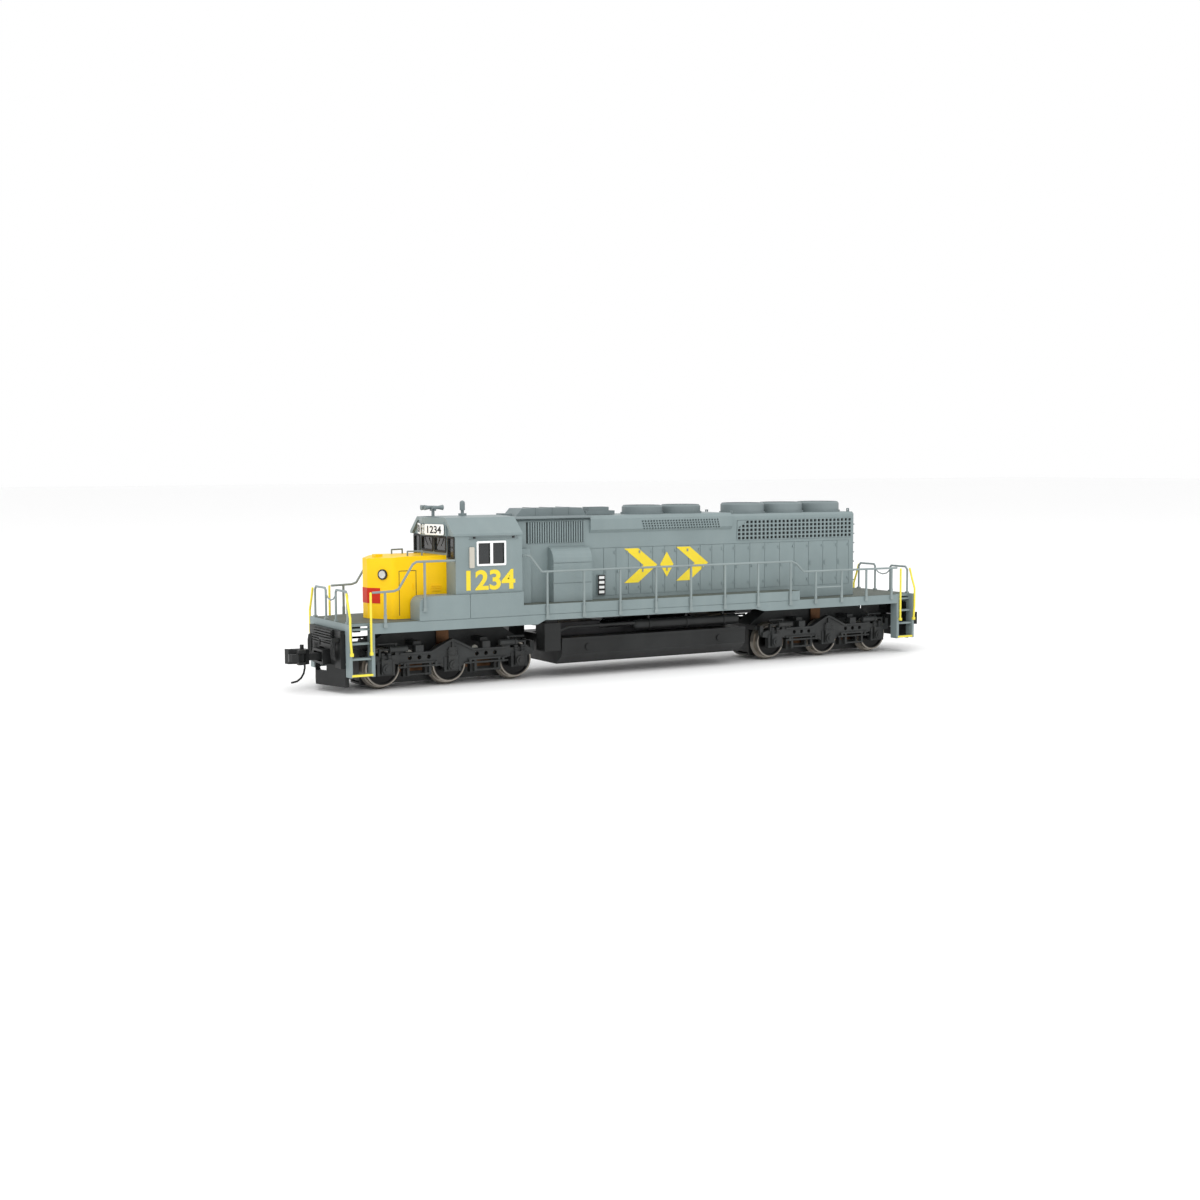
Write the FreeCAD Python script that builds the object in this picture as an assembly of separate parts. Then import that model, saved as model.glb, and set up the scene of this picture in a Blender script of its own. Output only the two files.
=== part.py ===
import FreeCAD, Part
import math
import os

# Model road-switcher locomotive at 1:160. Millimetres.
# +X is the nose end, +Y the left-hand side, Z = 0 the bottoms of the wheel flanges.

V = FreeCAD.Vector

# running gear
treadR = 3.175
flangeR = 3.775
axleZ = flangeR
wheelInY = 3.85
wheelOutY = 5.5
truckX = 41.72
outerGap = 12.66
innerGap = 13.22
axleR = 0.75

# gears
gearModule = 0.30
toothUp = 0.20
toothDown = 0.30
axleTeeth = 16
outerIdlerTeeth = 28
innerIdlerTeeth = 30
wormWheelTeeth = 24
wormPitchR = 1.6
wormTipR = 1.8
wormRootR = 1.25
wormHalf = 3.9
shaftR = 0.75
runGap = 0.05

# swivel seat of each truck
bossR = 4.0
lipR = 4.4
seatZ = 12.0
bossTopZ = 12.9

# heights
deckZ = 12.1
walkZ = 13.9
sillZ = 10.5
baseTopZ = 16.3
hoodTopZ = 29.2
noseTopZ = 23.1
eaveZ = 26.9
cabTopZ = 29.8

# half widths
sillY = 9.7
cabY = 9.2
hoodY = 5.55
noseY = 5.4
noseFlatY = 1.08
frameY = 4.6
frameGap = 0.15
wall = 0.5

# lengths
endX = 62.0
porchFrontX = 49.05
porchRound = 1.5
stepX = 57.4
raisedRearX = -32.6
cabRearX = 28.8
cabFrontX = 41.9
hoodRearX = -49.2
noseFrontX = 55.2
noseCornerX = 52.1
couplerZ = 6.0
couplerPivotX = 61.4
faceX = 69.6

pitch = math.pi * gearModule
axlePitchR = gearModule * axleTeeth / 2
wheelPitchR = gearModule * wormWheelTeeth / 2
wormWheelZ = axleZ + axlePitchR + wheelPitchR
driveZ = wormWheelZ + wheelPitchR + wormPitchR


def box(x0, x1, y0, y1, z0, z1):
    return Part.makeBox(x1 - x0, y1 - y0, z1 - z0, V(x0, y0, z0))


def rod(x, y, z, r, length, axis):
    return Part.makeCylinder(r, length, V(x, y, z), axis)


def rodX(x0, x1, y, z, r):
    return rod(x0, y, z, r, x1 - x0, V(1, 0, 0))


def rodY(y0, y1, x, z, r):
    return rod(x, y0, z, r, y1 - y0, V(0, 1, 0))


def rodZ(z0, z1, x, y, r):
    return rod(x, y, z0, r, z1 - z0, V(0, 0, 1))


def plateXZ(points, y0, y1):
    wire = Part.makePolygon([V(x, y0, z) for x, z in points] + [V(points[0][0], y0, points[0][1])])
    return Part.Face(wire).extrude(V(0, y1 - y0, 0))


def plateXY(points, z0, z1):
    wire = Part.makePolygon([V(x, y, z0) for x, y in points] + [V(points[0][0], points[0][1], z0)])
    return Part.Face(wire).extrude(V(0, 0, z1 - z0))


def plateYZ(points, x0, x1):
    wire = Part.makePolygon([V(x0, y, z) for y, z in points] + [V(x0, points[0][0], points[0][1])])
    return Part.Face(wire).extrude(V(x1 - x0, 0, 0))


def join(shapes):
    first = shapes[0]
    if len(shapes) == 1:
        return first
    return first.multiFuse(shapes[1:]).removeSplitter()


def mirrorY(shape):
    return shape.mirror(V(0, 0, 0), V(0, 1, 0))


def halfTurn(shape):
    copy = shape.copy()
    copy.rotate(V(0, 0, 0), V(0, 0, 1), 180)
    return copy


def bothSides(shapes):
    return shapes + [mirrorY(s) for s in shapes]


def bentRod(points, r):
    pieces = []
    for a, b in zip(points[:-1], points[1:]):
        start = V(*a)
        run = V(*b) - start
        pieces.append(Part.makeCylinder(r, run.Length, start, run))
    for p in points[1:-1]:
        pieces.append(Part.makeSphere(r, V(*p)))
    return pieces


def save(name, solids):
    flat = []
    for shape in solids:
        flat.extend(shape.Solids)
    Part.makeCompound(flat).exportStep("parts/" + name + ".step")


# gears

def toothedProfile(teeth, phase):
    r = gearModule * teeth / 2
    points = []
    for k in range(teeth):
        middle = phase + 2 * math.pi * k / teeth
        for radius, side in ((r - toothDown, -0.21), (r + toothUp, -0.09),
                             (r + toothUp, 0.09), (r - toothDown, 0.21)):
            a = middle + side / radius
            points.append((radius * math.cos(a), radius * math.sin(a)))
    return points


def gear(teeth, phase, x, z, y0, y1, holeR):
    points = [(x + px, z + pz) for px, pz in toothedProfile(teeth, phase)]
    blank = plateXZ(points, y0, y1)
    return blank.cut(rodY(y0 - 1, y1 + 1, x, z, holeR))


def meshedPhase(teethA, phaseA, angle, teethB):
    partA = ((angle - phaseA) * teethA / (2 * math.pi)) % 1.0
    partB = (0.5 - partA) % 1.0
    return angle + math.pi - partB * 2 * math.pi / teethB


def axleSpots(end):
    return {"outer": end * (truckX + outerGap), "middle": end * truckX,
            "inner": end * (truckX - innerGap)}


def trainLayout(end):
    spots = axleSpots(end)
    middlePhase = math.pi / 2
    layout = {"middle": (axleTeeth, middlePhase, spots["middle"], axleZ)}
    wheelPhase = meshedPhase(axleTeeth, middlePhase, math.pi / 2, wormWheelTeeth)
    layout["worm_wheel"] = (wormWheelTeeth, wheelPhase, spots["middle"], wormWheelZ)
    for side, teeth in (("outer", outerIdlerTeeth), ("inner", innerIdlerTeeth)):
        x = (spots[side] + spots["middle"]) / 2
        meshReach = axlePitchR + gearModule * teeth / 2
        rise = math.sqrt(meshReach ** 2 - (x - spots["middle"]) ** 2)
        toIdler = math.atan2(rise, x - spots["middle"])
        idlerPhase = meshedPhase(axleTeeth, middlePhase, toIdler, teeth)
        layout["idler_" + side] = (teeth, idlerPhase, x, axleZ + rise)
        toAxle = math.atan2(-rise, spots[side] - x)
        axlePhase = meshedPhase(teeth, idlerPhase, toAxle, axleTeeth)
        layout[side] = (axleTeeth, axlePhase, spots[side], axleZ)
    return layout


gearInY = 0.70
gearOutY = 1.50
pinR = 0.70


def wheel(x):
    disc = rodY(wheelInY, wheelOutY, x, axleZ, treadR)
    flange = Part.makeCone(flangeR, treadR + 0.25, 0.5, V(x, wheelInY, axleZ), V(0, 1, 0))
    dish = rodY(wheelOutY - 0.3, wheelOutY + 1, x, axleZ, treadR - 0.5)
    hub = rodY(wheelOutY - 0.35, wheelOutY - 0.05, x, axleZ, 1.1)
    centre = rodY(wheelOutY - 0.4, wheelOutY + 0.1, x, axleZ, axleR * 0.7)
    stub = rodY(0.2, wheelInY + 0.2, x, axleZ, axleR)
    return join([join([disc, flange]).cut(dish), hub, centre, stub])


def wheelset(layout, spot):
    teeth, phase, x, z = layout[spot]
    left = wheel(x)
    y0 = -0.55 if spot == "middle" else gearInY - 0.1
    sleeve = rodY(-1.7, 1.7, x, z, 1.1)
    drive = gear(teeth, phase, x, z, y0, gearOutY + 0.1, 1.0)
    hollow = rodY(-3, 3, x, z, axleR + 0.01)
    return [left, mirrorY(left), join([drive, sleeve]).cut(hollow)]


def idler(layout, side):
    teeth, phase, x, z = layout["idler_" + side]
    plain = gear(teeth, phase, x, z, gearInY, gearOutY, pinR)
    pockets = []
    for k in range(5):
        a = 2 * math.pi * k / 5
        pockets.append(rodY(gearInY - 1, gearOutY + 1, x + 2.5 * math.cos(a), z + 2.5 * math.sin(a), 0.8))
    return [plain.cut(Part.makeCompound(pockets)), rodY(-2.35, 2.35, x, z, pinR - 0.01)]


def wormWheel(layout):
    teeth, phase, x, z = layout["worm_wheel"]
    return [gear(teeth, phase, x, z, -0.5, 0.5, pinR), rodY(-2.35, 2.35, x, z, pinR - 0.01)]


def worm(end):
    layout = trainLayout(end)
    teeth, phase, x, z = layout["worm_wheel"]
    part = ((math.pi / 2 - phase) * teeth / (2 * math.pi)) % 1.0
    turns = int(wormHalf / pitch)
    startX = x + (part + 0.5 - turns) * pitch
    length = (2 * turns - 1) * pitch
    helix = Part.makeHelix(pitch, length, wormRootR)
    rootHalf = 0.21
    tipHalf = 0.10
    corners = [V(wormRootR - 0.1, 0, -rootHalf), V(wormTipR, 0, -tipHalf),
               V(wormTipR, 0, tipHalf), V(wormRootR - 0.1, 0, rootHalf)]
    profile = Part.makePolygon(corners + [corners[0]])
    thread = Part.Wire(helix).makePipeShell([profile], True, True)
    if thread.Volume < 0:
        thread.reverse()
    thread.rotate(V(0, 0, 0), V(0, 1, 0), 90)
    thread = thread.translated(V(startX, 0, driveZ))
    core = rodX(x - wormHalf, x + wormHalf, 0, driveZ, wormRootR)
    body = core.fuse(thread)
    bearingRun = rodX(x - wormHalf - 2.4, x + wormHalf + 2.4, 0, driveZ, shaftR)
    return [body.fuse(bearingRun)]


# trucks

def gearbox(end):
    layout = trainLayout(end)
    spots = axleSpots(end)
    lowZ = 1.35
    outX = spots["outer"]
    inX = spots["inner"]
    shoulder = 11.0
    side = [(outX + end * 3.1, lowZ), (outX + end * 3.1, 6.8), (outX - end * 1.6, 9.5),
            (outX - end * 4.6, shoulder), (inX + end * 3.9, shoulder),
            (inX + end * 0.9, 9.4), (inX - end * 3.1, 6.8), (inX - end * 3.1, lowZ)]
    shell = plateXZ(side, -2.4, 2.4)
    centre = (outX + inX) / 2
    cavity = [(centre + (x - centre) * 0.98, 1.0 if z < 2 else z - 0.4) for x, z in side]
    hollow = plateXZ(cavity, -1.8, 1.8)
    x0 = spots["middle"]
    boss = join([rodZ(shoulder - 0.1, bossTopZ, x0, 0, bossR), rodZ(12.5, bossTopZ, x0, 0, lipR)])
    body = join([shell, boss]).cut(hollow)
    cuts = [box(x0 - 3.85, x0 + 3.85, -0.8, 0.8, 10, 11.9), box(x0 - 3.3, x0 + 3.3, -0.8, 0.8, 10, 14)]
    for spot in ("outer", "middle", "inner"):
        x = spots[spot]
        cuts.append(rodY(-3, 3, x, axleZ, 1.0))
        cuts.append(box(x - 1.0, x + 1.0, -3, 3, 0, axleZ))
    for spot in ("idler_outer", "idler_inner", "worm_wheel"):
        teeth, phase, x, z = layout[spot]
        cuts.append(rodY(-3, 3, x, z, pinR + runGap))
    return [body.cut(Part.makeCompound(cuts))]


def gearboxCover(end):
    spots = axleSpots(end)
    x0 = min(spots.values()) - 2.9
    x1 = max(spots.values()) + 2.9
    plate = box(x0, x1, -2.4, 2.4, 0.65, 1.0)
    rims = [box(x0, x1, y - 0.25, y + 0.25, 0.95, 1.33) for y in (-2.1, 2.1)]
    saddles = []
    for x in spots.values():
        for y in (-2.1, 2.1):
            block = box(x - 0.95, x + 0.95, y - 0.25, y + 0.25, 1.2, axleZ - 0.1)
            saddles.append(block.cut(rodY(y - 1, y + 1, x, axleZ, 1.15)))
    return [join([plate] + rims + saddles)]


def contactStrips(end):
    spots = axleSpots(end)
    x0 = min(spots.values()) - 1.6
    x1 = max(spots.values()) + 1.6
    strip = box(x0, x1, 2.5, 2.8, 2.6, 4.9)
    riser = box(end * truckX - 1.2, end * truckX + 1.2, 2.5, 2.8, 4.9, 10.8)
    bores = [rodY(2, 4, x, axleZ, axleR + runGap) for x in spots.values()]
    left = join([strip, riser]).cut(Part.makeCompound(bores))
    return [left, mirrorY(left)]


frameInY = 6.0
frameOutY = 7.0
boxOutY = 7.7


journalTopZ = 5.4
beamTopZ = 6.4
beamLowZ = 4.4
peakZ = 8.4


def sideBeam(middle, gap, way):
    def at(u, z):
        return (middle + way * u, z)
    outline = [at(0, peakZ), at(1.0, 8.0), at(4.2, beamTopZ), at(gap - 2.6, beamTopZ), at(gap - 1.6, 6.1),
               at(gap + 1.6, 6.1), at(gap + 2.9, 5.7), at(gap + 2.9, 4.8), at(gap + 1.5, 4.6),
               at(gap - 1.5, 4.6), at(gap - 2.6, beamLowZ), at(3.2, beamLowZ), at(1.8, 3.4), at(0, 3.4)]
    rib = [at(0.0, peakZ), at(1.0, 8.0), at(4.2, beamTopZ), at(gap - 2.6, beamTopZ), at(gap - 2.6, beamTopZ - 0.3),
           at(4.0, beamTopZ - 0.3), at(0.9, 7.65), at(0.0, 8.0)]
    low = [at(3.0, beamLowZ), at(gap - 2.6, beamLowZ), at(gap - 2.6, beamLowZ + 0.3), at(3.0, beamLowZ + 0.3)]
    pieces = [plateXZ(outline, frameInY, frameOutY), plateXZ(rib, frameOutY - 0.1, frameOutY + 0.3),
              plateXZ(low, frameOutY - 0.1, frameOutY + 0.3)]
    holes = [rodY(5, 9, middle + way * (gap / 2 + step), 5.45, 0.38) for step in (-1.8, 0, 1.8)]
    return join(pieces).cut(Part.makeCompound(holes))


def journal(x):
    pieces = [box(x - 0.95, x + 0.95, frameInY, 7.5, 2.9, journalTopZ),
              rodY(frameInY, 7.8, x, axleZ, 0.85), rodY(frameInY, 8.0, x, axleZ, 0.42),
              box(x - 1.6, x + 1.6, frameInY, frameOutY, 2.6, 2.95)]
    for dx in (-1.4, 1.4):
        pieces.append(box(x + dx - 0.25, x + dx + 0.25, frameInY, frameOutY + 0.15, 2.6, 5.2))
    for dx in (-0.62, 0.62):
        for z in (5.35, 5.8, 6.25):
            pieces.append(rodZ(z, z + 0.25, x + dx, frameOutY, 0.45))
        pieces.append(rodZ(5.2, 6.6, x + dx, frameOutY, 0.3))
    return pieces


def brakeGear(middle, gap, way):
    def bar(u0, u1, y, z, r):
        xs = sorted((middle + way * u0, middle + way * u1))
        return rodX(xs[0], xs[1], y, z, r)

    def block(u0, u1, y0, y1, z0, z1):
        xs = sorted((middle + way * u0, middle + way * u1))
        return box(xs[0], xs[1], y0, y1, z0, z1)
    pieces = [bar(2.3, gap - 2.4, 7.3, 3.95, 0.18), bar(4.2, gap - 3.9, 7.15, 2.55, 0.17)]
    for u in (3.3, gap - 3.4):
        pieces.append(block(u - 0.22, u + 0.22, 6.4, 7.5, 3.75, beamLowZ + 0.2))
    for u in (4.4, gap - 4.1):
        pieces.append(block(u - 0.22, u + 0.22, 6.4, 7.3, 2.3, beamLowZ + 0.2))
        pieces.append(block(u - 0.2, u + 0.2, 4.3, 6.6, 3.6, beamLowZ + 0.1))
        pieces.append(block(u - 0.22, u + 0.22, 4.25, 5.4, 2.0, beamLowZ + 0.1))
    pieces.append(block(gap / 2 - 0.75, gap / 2 + 0.75, 5.7, 7.15, beamTopZ - 0.1, 7.6))
    pieces.append(bar(gap - 4.0, gap - 0.9, 7.05, 7.15, 0.55))
    pieces.append(bar(gap - 0.95, gap - 0.6, 7.05, 7.15, 0.68))
    pieces.append(bar(gap - 0.7, gap + 1.3, 7.05, 7.15, 0.2))
    pieces.append(block(gap - 3.4, gap - 1.8, 6.3, 7.0, 6.0, 7.0))
    pieces.append(block(gap + 1.0, gap + 1.3, 6.5, 7.2, 5.9, 7.3))
    pieces.append(bar(gap - 2.3, gap + 1.2, 6.6, 8.1, 0.2))
    pieces.append(block(gap - 2.2, gap - 1.9, 6.4, 6.8, 6.9, 8.2))
    return pieces


def sideframe(end):
    spots = axleSpots(end)
    pieces = []
    for gap, way in ((outerGap, end), (innerGap, -end)):
        pieces.append(sideBeam(spots["middle"], gap, way))
        pieces += brakeGear(spots["middle"], gap, way)
    for x in spots.values():
        pieces += journal(x)
    for z0, z1, wide in ((journalTopZ, 8.0, 0.18), (5.3, 6.9, 0.75)):
        pieces.append(box(spots["middle"] - wide, spots["middle"] + wide, frameOutY - 0.1, frameOutY + 0.35, z0, z1))
    return join(pieces)


def truckFrame(end):
    left = sideframe(end)
    spots = axleSpots(end)
    cross = []
    for x, way in ((spots["outer"], end), (spots["inner"], -end)):
        xs = sorted((x + way * 3.2, x + way * 3.7))
        cross.append(box(xs[0], xs[1], -5.6, 5.6, 6.1, 7.0))
        xs = sorted((x + way * 2.5, x + way * 3.3))
        for y in (-1, 1):
            ys = sorted((y * 5.3, y * 6.6))
            cross.append(box(xs[0], xs[1], ys[0], ys[1], 6.1, 7.0))
            ys = sorted((y * 6.0, y * 6.6))
            cross.append(box(xs[0], xs[1], ys[0], ys[1], 5.2, 6.5))
    for gap, way in ((outerGap, end), (innerGap, -end)):
        x = spots["middle"] + way * gap / 2
        for y in (-1, 1):
            ys = sorted((y * 2.4, y * 6.1))
            cross.append(box(x - 0.7, x + 0.7, ys[0], ys[1], 7.4, 8.2))
    return [join([left, mirrorY(left)] + cross)]


# chassis

def frameHalf():
    return [(-59.2, 10.2), (-59.2, 11.9), (-48.6, 11.9), (-48.6, 24.0), (26.4, 24.0), (26.4, 20.4),
             (48.4, 20.4), (48.4, 11.9), (59.2, 11.9), (59.2, 10.2), (58.0, 10.2),
             (58.0, 11.3), (47.8, 11.3), (47.2, seatZ), (25.4, seatZ), (24.2, 9.6), (19.0, 9.6),
             (19.0, 4.6), (-18.2, 4.6), (-18.2, 9.6), (-24.2, 9.6), (-25.4, seatZ),
             (-47.2, seatZ), (-47.8, 11.3), (-58.0, 11.3), (-58.0, 10.2)]


def chassisFrame():
    body = plateXZ(frameHalf(), frameGap, frameY)
    cuts = []
    # motor bay and flywheel bays
    cuts.append(box(-10.2, 10.2, -6, 6, 8.4, 21.4))
    for x0, x1 in ((10.2, 20.6), (-20.6, -10.2)):
        cuts.append(box(x0, x1, -6, 6, driveZ - 5.2, driveZ + 5.2))
    # drive shaft tunnels
    cuts.append(box(-50, 50, -1.6, 1.6, driveZ - 1.6, driveZ + 1.6))
    for end in (-1, 1):
        x = end * truckX
        cuts.append(box(x - 4.6, x + 4.6, -2.3, 2.3, 12.95, driveZ + 2.3))
        for side in (-1, 1):
            cuts.append(box(x + side * 5.45 - 0.85, x + side * 5.45 + 0.85, -2.0, 2.0,
                            driveZ - 2.0, driveZ + 2.0))
        cuts.append(rodZ(seatZ - 1, 12.45, x, 0, bossR + runGap))
        cuts.append(rodZ(12.44, 12.96, x, 0, lipR + 0.1))
    for x, z in screwSpots:
        cuts.append(rodY(-6, 6, x, z, 0.62))
    return [body.cut(join(cuts))]


screwSpots = [(23.4, 18.5), (-23.4, 18.5), (0.0, 6.4)]


def frameScrews():
    out = []
    for x, z in screwSpots:
        shank = rodY(-4.2, 4.2, x, z, 0.55)
        head = rodY(4.2, 4.55, x, z, 0.6)
        slot = box(x - 0.1, x + 0.1, 4.4, 5, z - 1, z + 1)
        out.append(join([shank, head]).cut(slot))
    return out


def frameSpacers():
    out = []
    for x, z in ((30.0, 19.0), (-30.0, 21.0), (46.0, 19.0), (-46.5, 21.0), (14.0, 22.6), (-14.0, 22.6)):
        out.append(box(x - 0.8, x + 0.8, -frameGap, frameGap, z - 0.8, z + 0.8))
    return out


def motorCan():
    can = box(-9.6, 9.6, -4.5, 4.5, driveZ - 5.4, driveZ + 5.4)
    can = can.makeFillet(1.2, [e for e in can.Edges if abs(e.tangentAt(0).x) > 0.9])
    bay = rodX(-8.6, 8.6, 0, driveZ, 4.0)
    shaft = rodX(-12, 12, 0, driveZ, shaftR + runGap)
    slots = [box(-9.0, -7.0, -6, 6, driveZ - 1.1, driveZ + 1.1)]
    return [can.cut(bay).cut(shaft).cut(join(slots))]


def brushCaps():
    left = rodY(3.2, 4.75, -8.0, driveZ, 1.0)
    return [left, mirrorY(left)]


def motorArmature():
    shaft = rodX(-17.6, 17.6, 0, driveZ, shaftR)
    core = []
    for k in range(5):
        a = 2 * math.pi * k / 5
        arm = box(-5.2, 6.2, -0.45, 0.45, 0, 3.0)
        shoe = rodX(-5.2, 6.2, 0, 0, 3.7).cut(rodX(-6, 7, 0, 0, 3.05))
        wedge = plateYZ([(0, 0), (-1.9, 4.2), (1.9, 4.2)], -5.2, 6.2)
        tooth = join([arm, shoe.common(wedge)])
        tooth.rotate(V(0, 0, 0), V(1, 0, 0), math.degrees(a))
        core.append(tooth)
    hub = rodX(-5.2, 6.2, 0, 0, 1.2)
    commutator = rodX(-8.5, -6.9, 0, 0, 1.9)
    stack = join(core + [hub, commutator])
    stack.translate(V(0, 0, driveZ))
    return [join([shaft, stack])]


def flywheels():
    out = []
    for x0, x1 in ((10.9, 19.4), (-19.4, -10.9)):
        disc = rodX(x0, x1, 0, driveZ, 4.55)
        groove = rodX((x0 + x1) / 2 - 0.3, (x0 + x1) / 2 + 0.3, 0, driveZ, 6).cut(
            rodX(x0, x1, 0, driveZ, 4.3))
        inner = rodX(x0 - 1, x1 + 1, 0, driveZ, shaftR + 0.005)
        cup = rodX(17.7, 21, 0, driveZ, 1.7) if x0 > 0 else rodX(-21, -17.7, 0, driveZ, 1.7)
        out.append(disc.cut(groove).cut(inner).cut(cup))
    return out


def driveShaft(end):
    x0 = 18.0
    x1 = truckX - wormHalf - 2.4
    bar = rodX(x0 + 0.6, x1 - 1.2, 0, driveZ, 0.6)
    ball = Part.makeSphere(1.15, V(x0 + 0.9, 0, driveZ))
    pins = rodY(-1.5, 1.5, x0 + 0.9, driveZ, 0.3)
    cup = rodX(x1 - 1.6, x1 - 0.05, 0, driveZ, 1.25)
    shape = join([bar, ball, pins, cup])
    return [shape if end > 0 else halfTurn(shape)]


def wormBearings():
    out = []
    for end in (-1, 1):
        for side in (-1, 1):
            x = end * truckX + side * 5.45
            block = box(x - 0.8, x + 0.8, -1.9, 1.9, driveZ - 1.9, driveZ + 1.9)
            out.append(block.cut(rodX(x - 2, x + 2, 0, driveZ, shaftR + runGap)))
    return out


def lightBoard():
    board = box(-47.0, 25.5, -3.8, 3.8, 24.1, 24.8)
    out = [board]
    for x, sx, sy, h in ((-30, 3.2, 2.4, 0.7), (-10, 2.4, 2.0, 0.6), (6, 3.6, 2.8, 0.9), (18, 1.6, 1.2, 0.6)):
        out.append(box(x - sx, x + sx, -sy, sy, 24.8, 24.8 + h))
    for x0, x1 in ((23.0, 25.0), (-46.8, -44.8)):
        out.append(box(x0, x1, -1.0, 1.0, 24.8, 26.2))
    return [join(out)]


def lightPipes():
    front = join([box(25.6, 41.2, -0.6, 0.6, 24.9, 26.0), box(40.0, 41.2, -0.6, 0.6, 24.9, 28.4),
                  box(41.1, 43.75, -0.42, 0.42, 26.9, 28.5)])
    rear = box(-48.55, -46.9, -0.6, 0.6, 24.9, 27.6)
    return [front, rear]


# underbody

def fuelTank():
    half = 9.0
    low = 2.5
    top = 7.4
    section = [(-half + 2.2, low), (half - 2.2, low), (half, low + 1.9), (half, top),
               (-half, top), (-half, low + 1.9)]
    body = plateYZ(section, -19.9, 20.7)
    body = body.cut(box(-18.9, 19.7, -frameY - 0.2, frameY + 0.2, 4.3, 12))
    lip = []
    for y in (-1, 1):
        ys = sorted((y * (half - 0.5), y * (half + 0.12)))
        lip.append(box(-19.9, 20.7, ys[0], ys[1], top - 0.5, top))
    fillers = []
    for y in (-1, 1):
        for x in (15.2, -13.8):
            fillers.append(rodY(min(y * 8.8, y * 9.25), max(y * 8.8, y * 9.25), x, 5.6, 0.6))
    return [join([body] + lip + fillers)]


def airTanks():
    out = []
    for y in (-1, 1):
        tank = rodX(-18.2, 4.0, y * 7.6, 8.95, 1.0)
        ends = [Part.makeSphere(1.0, V(x, y * 7.6, 8.95)) for x in (-18.2, 4.0)]
        bands = [rodX(x - 0.25, x + 0.25, y * 7.6, 8.95, 1.12) for x in (-15.5, -7.0, 1.4)]
        hangers = [box(x - 0.2, x + 0.2, min(y * 7.4, y * 7.8), max(y * 7.4, y * 7.8), 9.8, walkZ - 0.52)
                   for x in (-15.5, -7.0, 1.4)]
        gearBox = join([box(20.9, 24.2, min(y * 5.6, y * 8.9), max(y * 5.6, y * 8.9), 5.2, 10.3),
                        box(21.4, 23.7, min(y * 5.9, y * 8.4), max(y * 5.9, y * 8.4), 10.2, walkZ - 0.52)])
        pipe = bentRod([(5.0, y * 8.6, 9.4), (12.0, y * 8.6, 9.4), (19.0, y * 8.6, 9.4),
                        (21.5, y * 8.4, 8.6)], 0.3)
        out.append(join([tank] + ends + bands + hangers))
        out.append(join([gearBox] + pipe))
    return out


def walkway():
    inY = 5.65
    shoulder = []
    for k in range(6):
        a = math.radians(90 - 18 * k)
        shoulder.append((porchFrontX - porchRound * (1 - math.cos(a)), baseTopZ - porchRound * (1 - math.sin(a))))
    outline = [(-endX, sillZ - 0.2), (-endX, deckZ), (raisedRearX, deckZ), (raisedRearX, walkZ),
               (cabRearX, walkZ), (cabRearX, baseTopZ)] + shoulder + [
               (porchFrontX, deckZ), (endX, deckZ), (endX, sillZ - 0.2),
               (26.0, sillZ - 0.2), (24.5, sillZ + 0.5), (-22.0, sillZ + 0.3), (-24.0, sillZ - 0.2)]
    side = plateXZ(outline, inY, sillY)
    under = [(-endX + 0.5, 5), (-endX + 0.5, deckZ - 0.5), (raisedRearX + 0.5, deckZ - 0.5),
             (raisedRearX + 0.5, walkZ - 0.5), (cabRearX + 0.5, walkZ - 0.5),
             (cabRearX + 0.5, baseTopZ - 0.5), (porchFrontX - porchRound, baseTopZ - 0.5),
             (porchFrontX - 0.6, baseTopZ - porchRound), (porchFrontX - 0.6, deckZ - 0.5),
             (endX - 0.5, deckZ - 0.5), (endX - 0.5, 5)]
    hollow = plateXZ(under, inY - 1, sillY - 0.5)
    left = side.cut(hollow)
    seams = []
    for x in stanchionX[2:10]:
        seams.append(box(x - 0.45, x - 0.33, sillY - 0.12, sillY + 1, deckZ + 0.2, walkZ - 0.2))
        seams.append(box(x + 0.33, x + 0.45, sillY - 0.12, sillY + 1, deckZ + 0.2, walkZ - 0.2))
    seams.append(box(39.3, 39.42, sillY - 0.12, sillY + 1, deckZ, baseTopZ + 1))
    seams.append(box(cabRearX, porchFrontX + 1, sillY - 0.1, sillY + 1, deckZ - 0.14, deckZ))
    seams.append(box(raisedRearX + 0.4, cabRearX, sillY - 0.1, sillY + 1, deckZ - 0.1, deckZ))
    left = left.cut(Part.makeCompound(seams))
    porches = [box(porchFrontX - 0.5, endX, -inY - 0.2, inY + 0.2, deckZ - 0.5, deckZ),
               box(-endX, hoodRearX - 0.1, -inY - 0.2, inY + 0.2, deckZ - 0.5, deckZ)]
    porches[0] = porches[0].cut(box(48, 59.4, -frameY - 0.1, frameY + 0.1, 11, 11.95))
    porches[1] = porches[1].cut(box(-59.4, -48, -frameY - 0.1, frameY + 0.1, 11, 11.95))
    ends = [box(endX - 0.5, endX, -sillY, sillY, sillZ - 0.2, deckZ),
            box(-endX, -endX + 0.5, -sillY, sillY, sillZ - 0.2, deckZ)]
    whole = join([left, mirrorY(left)] + porches + ends)
    wells = []
    for sx in (-1, 1):
        for sy in (-1, 1):
            xs = sorted((sx * (stepX + 0.5), sx * (endX - 0.5)))
            ys = sorted((sy * stepInY, sy * (sillY + 1)))
            wells.append(box(xs[0], xs[1], ys[0], ys[1], sillZ - 1, deckZ - 0.5))
            ys = sorted((sy * notchY, sy * (sillY + 1)))
            wells.append(box(xs[0], xs[1], ys[0], ys[1], deckZ - 0.6, deckZ + 1))
    steps = []
    for sx in (-1, 1):
        for sy in (-1, 1):
            steps.extend(stepUnit(sx, sy))
    return [join([whole.cut(Part.makeCompound(wells))] + steps)]


stepInY = 7.8
notchY = 8.35
stepTreads = ((3.1, 8.2, sillY), (5.9, 8.0, 9.4), (8.5, stepInY, 9.0), (10.9, stepInY, 8.6))


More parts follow.
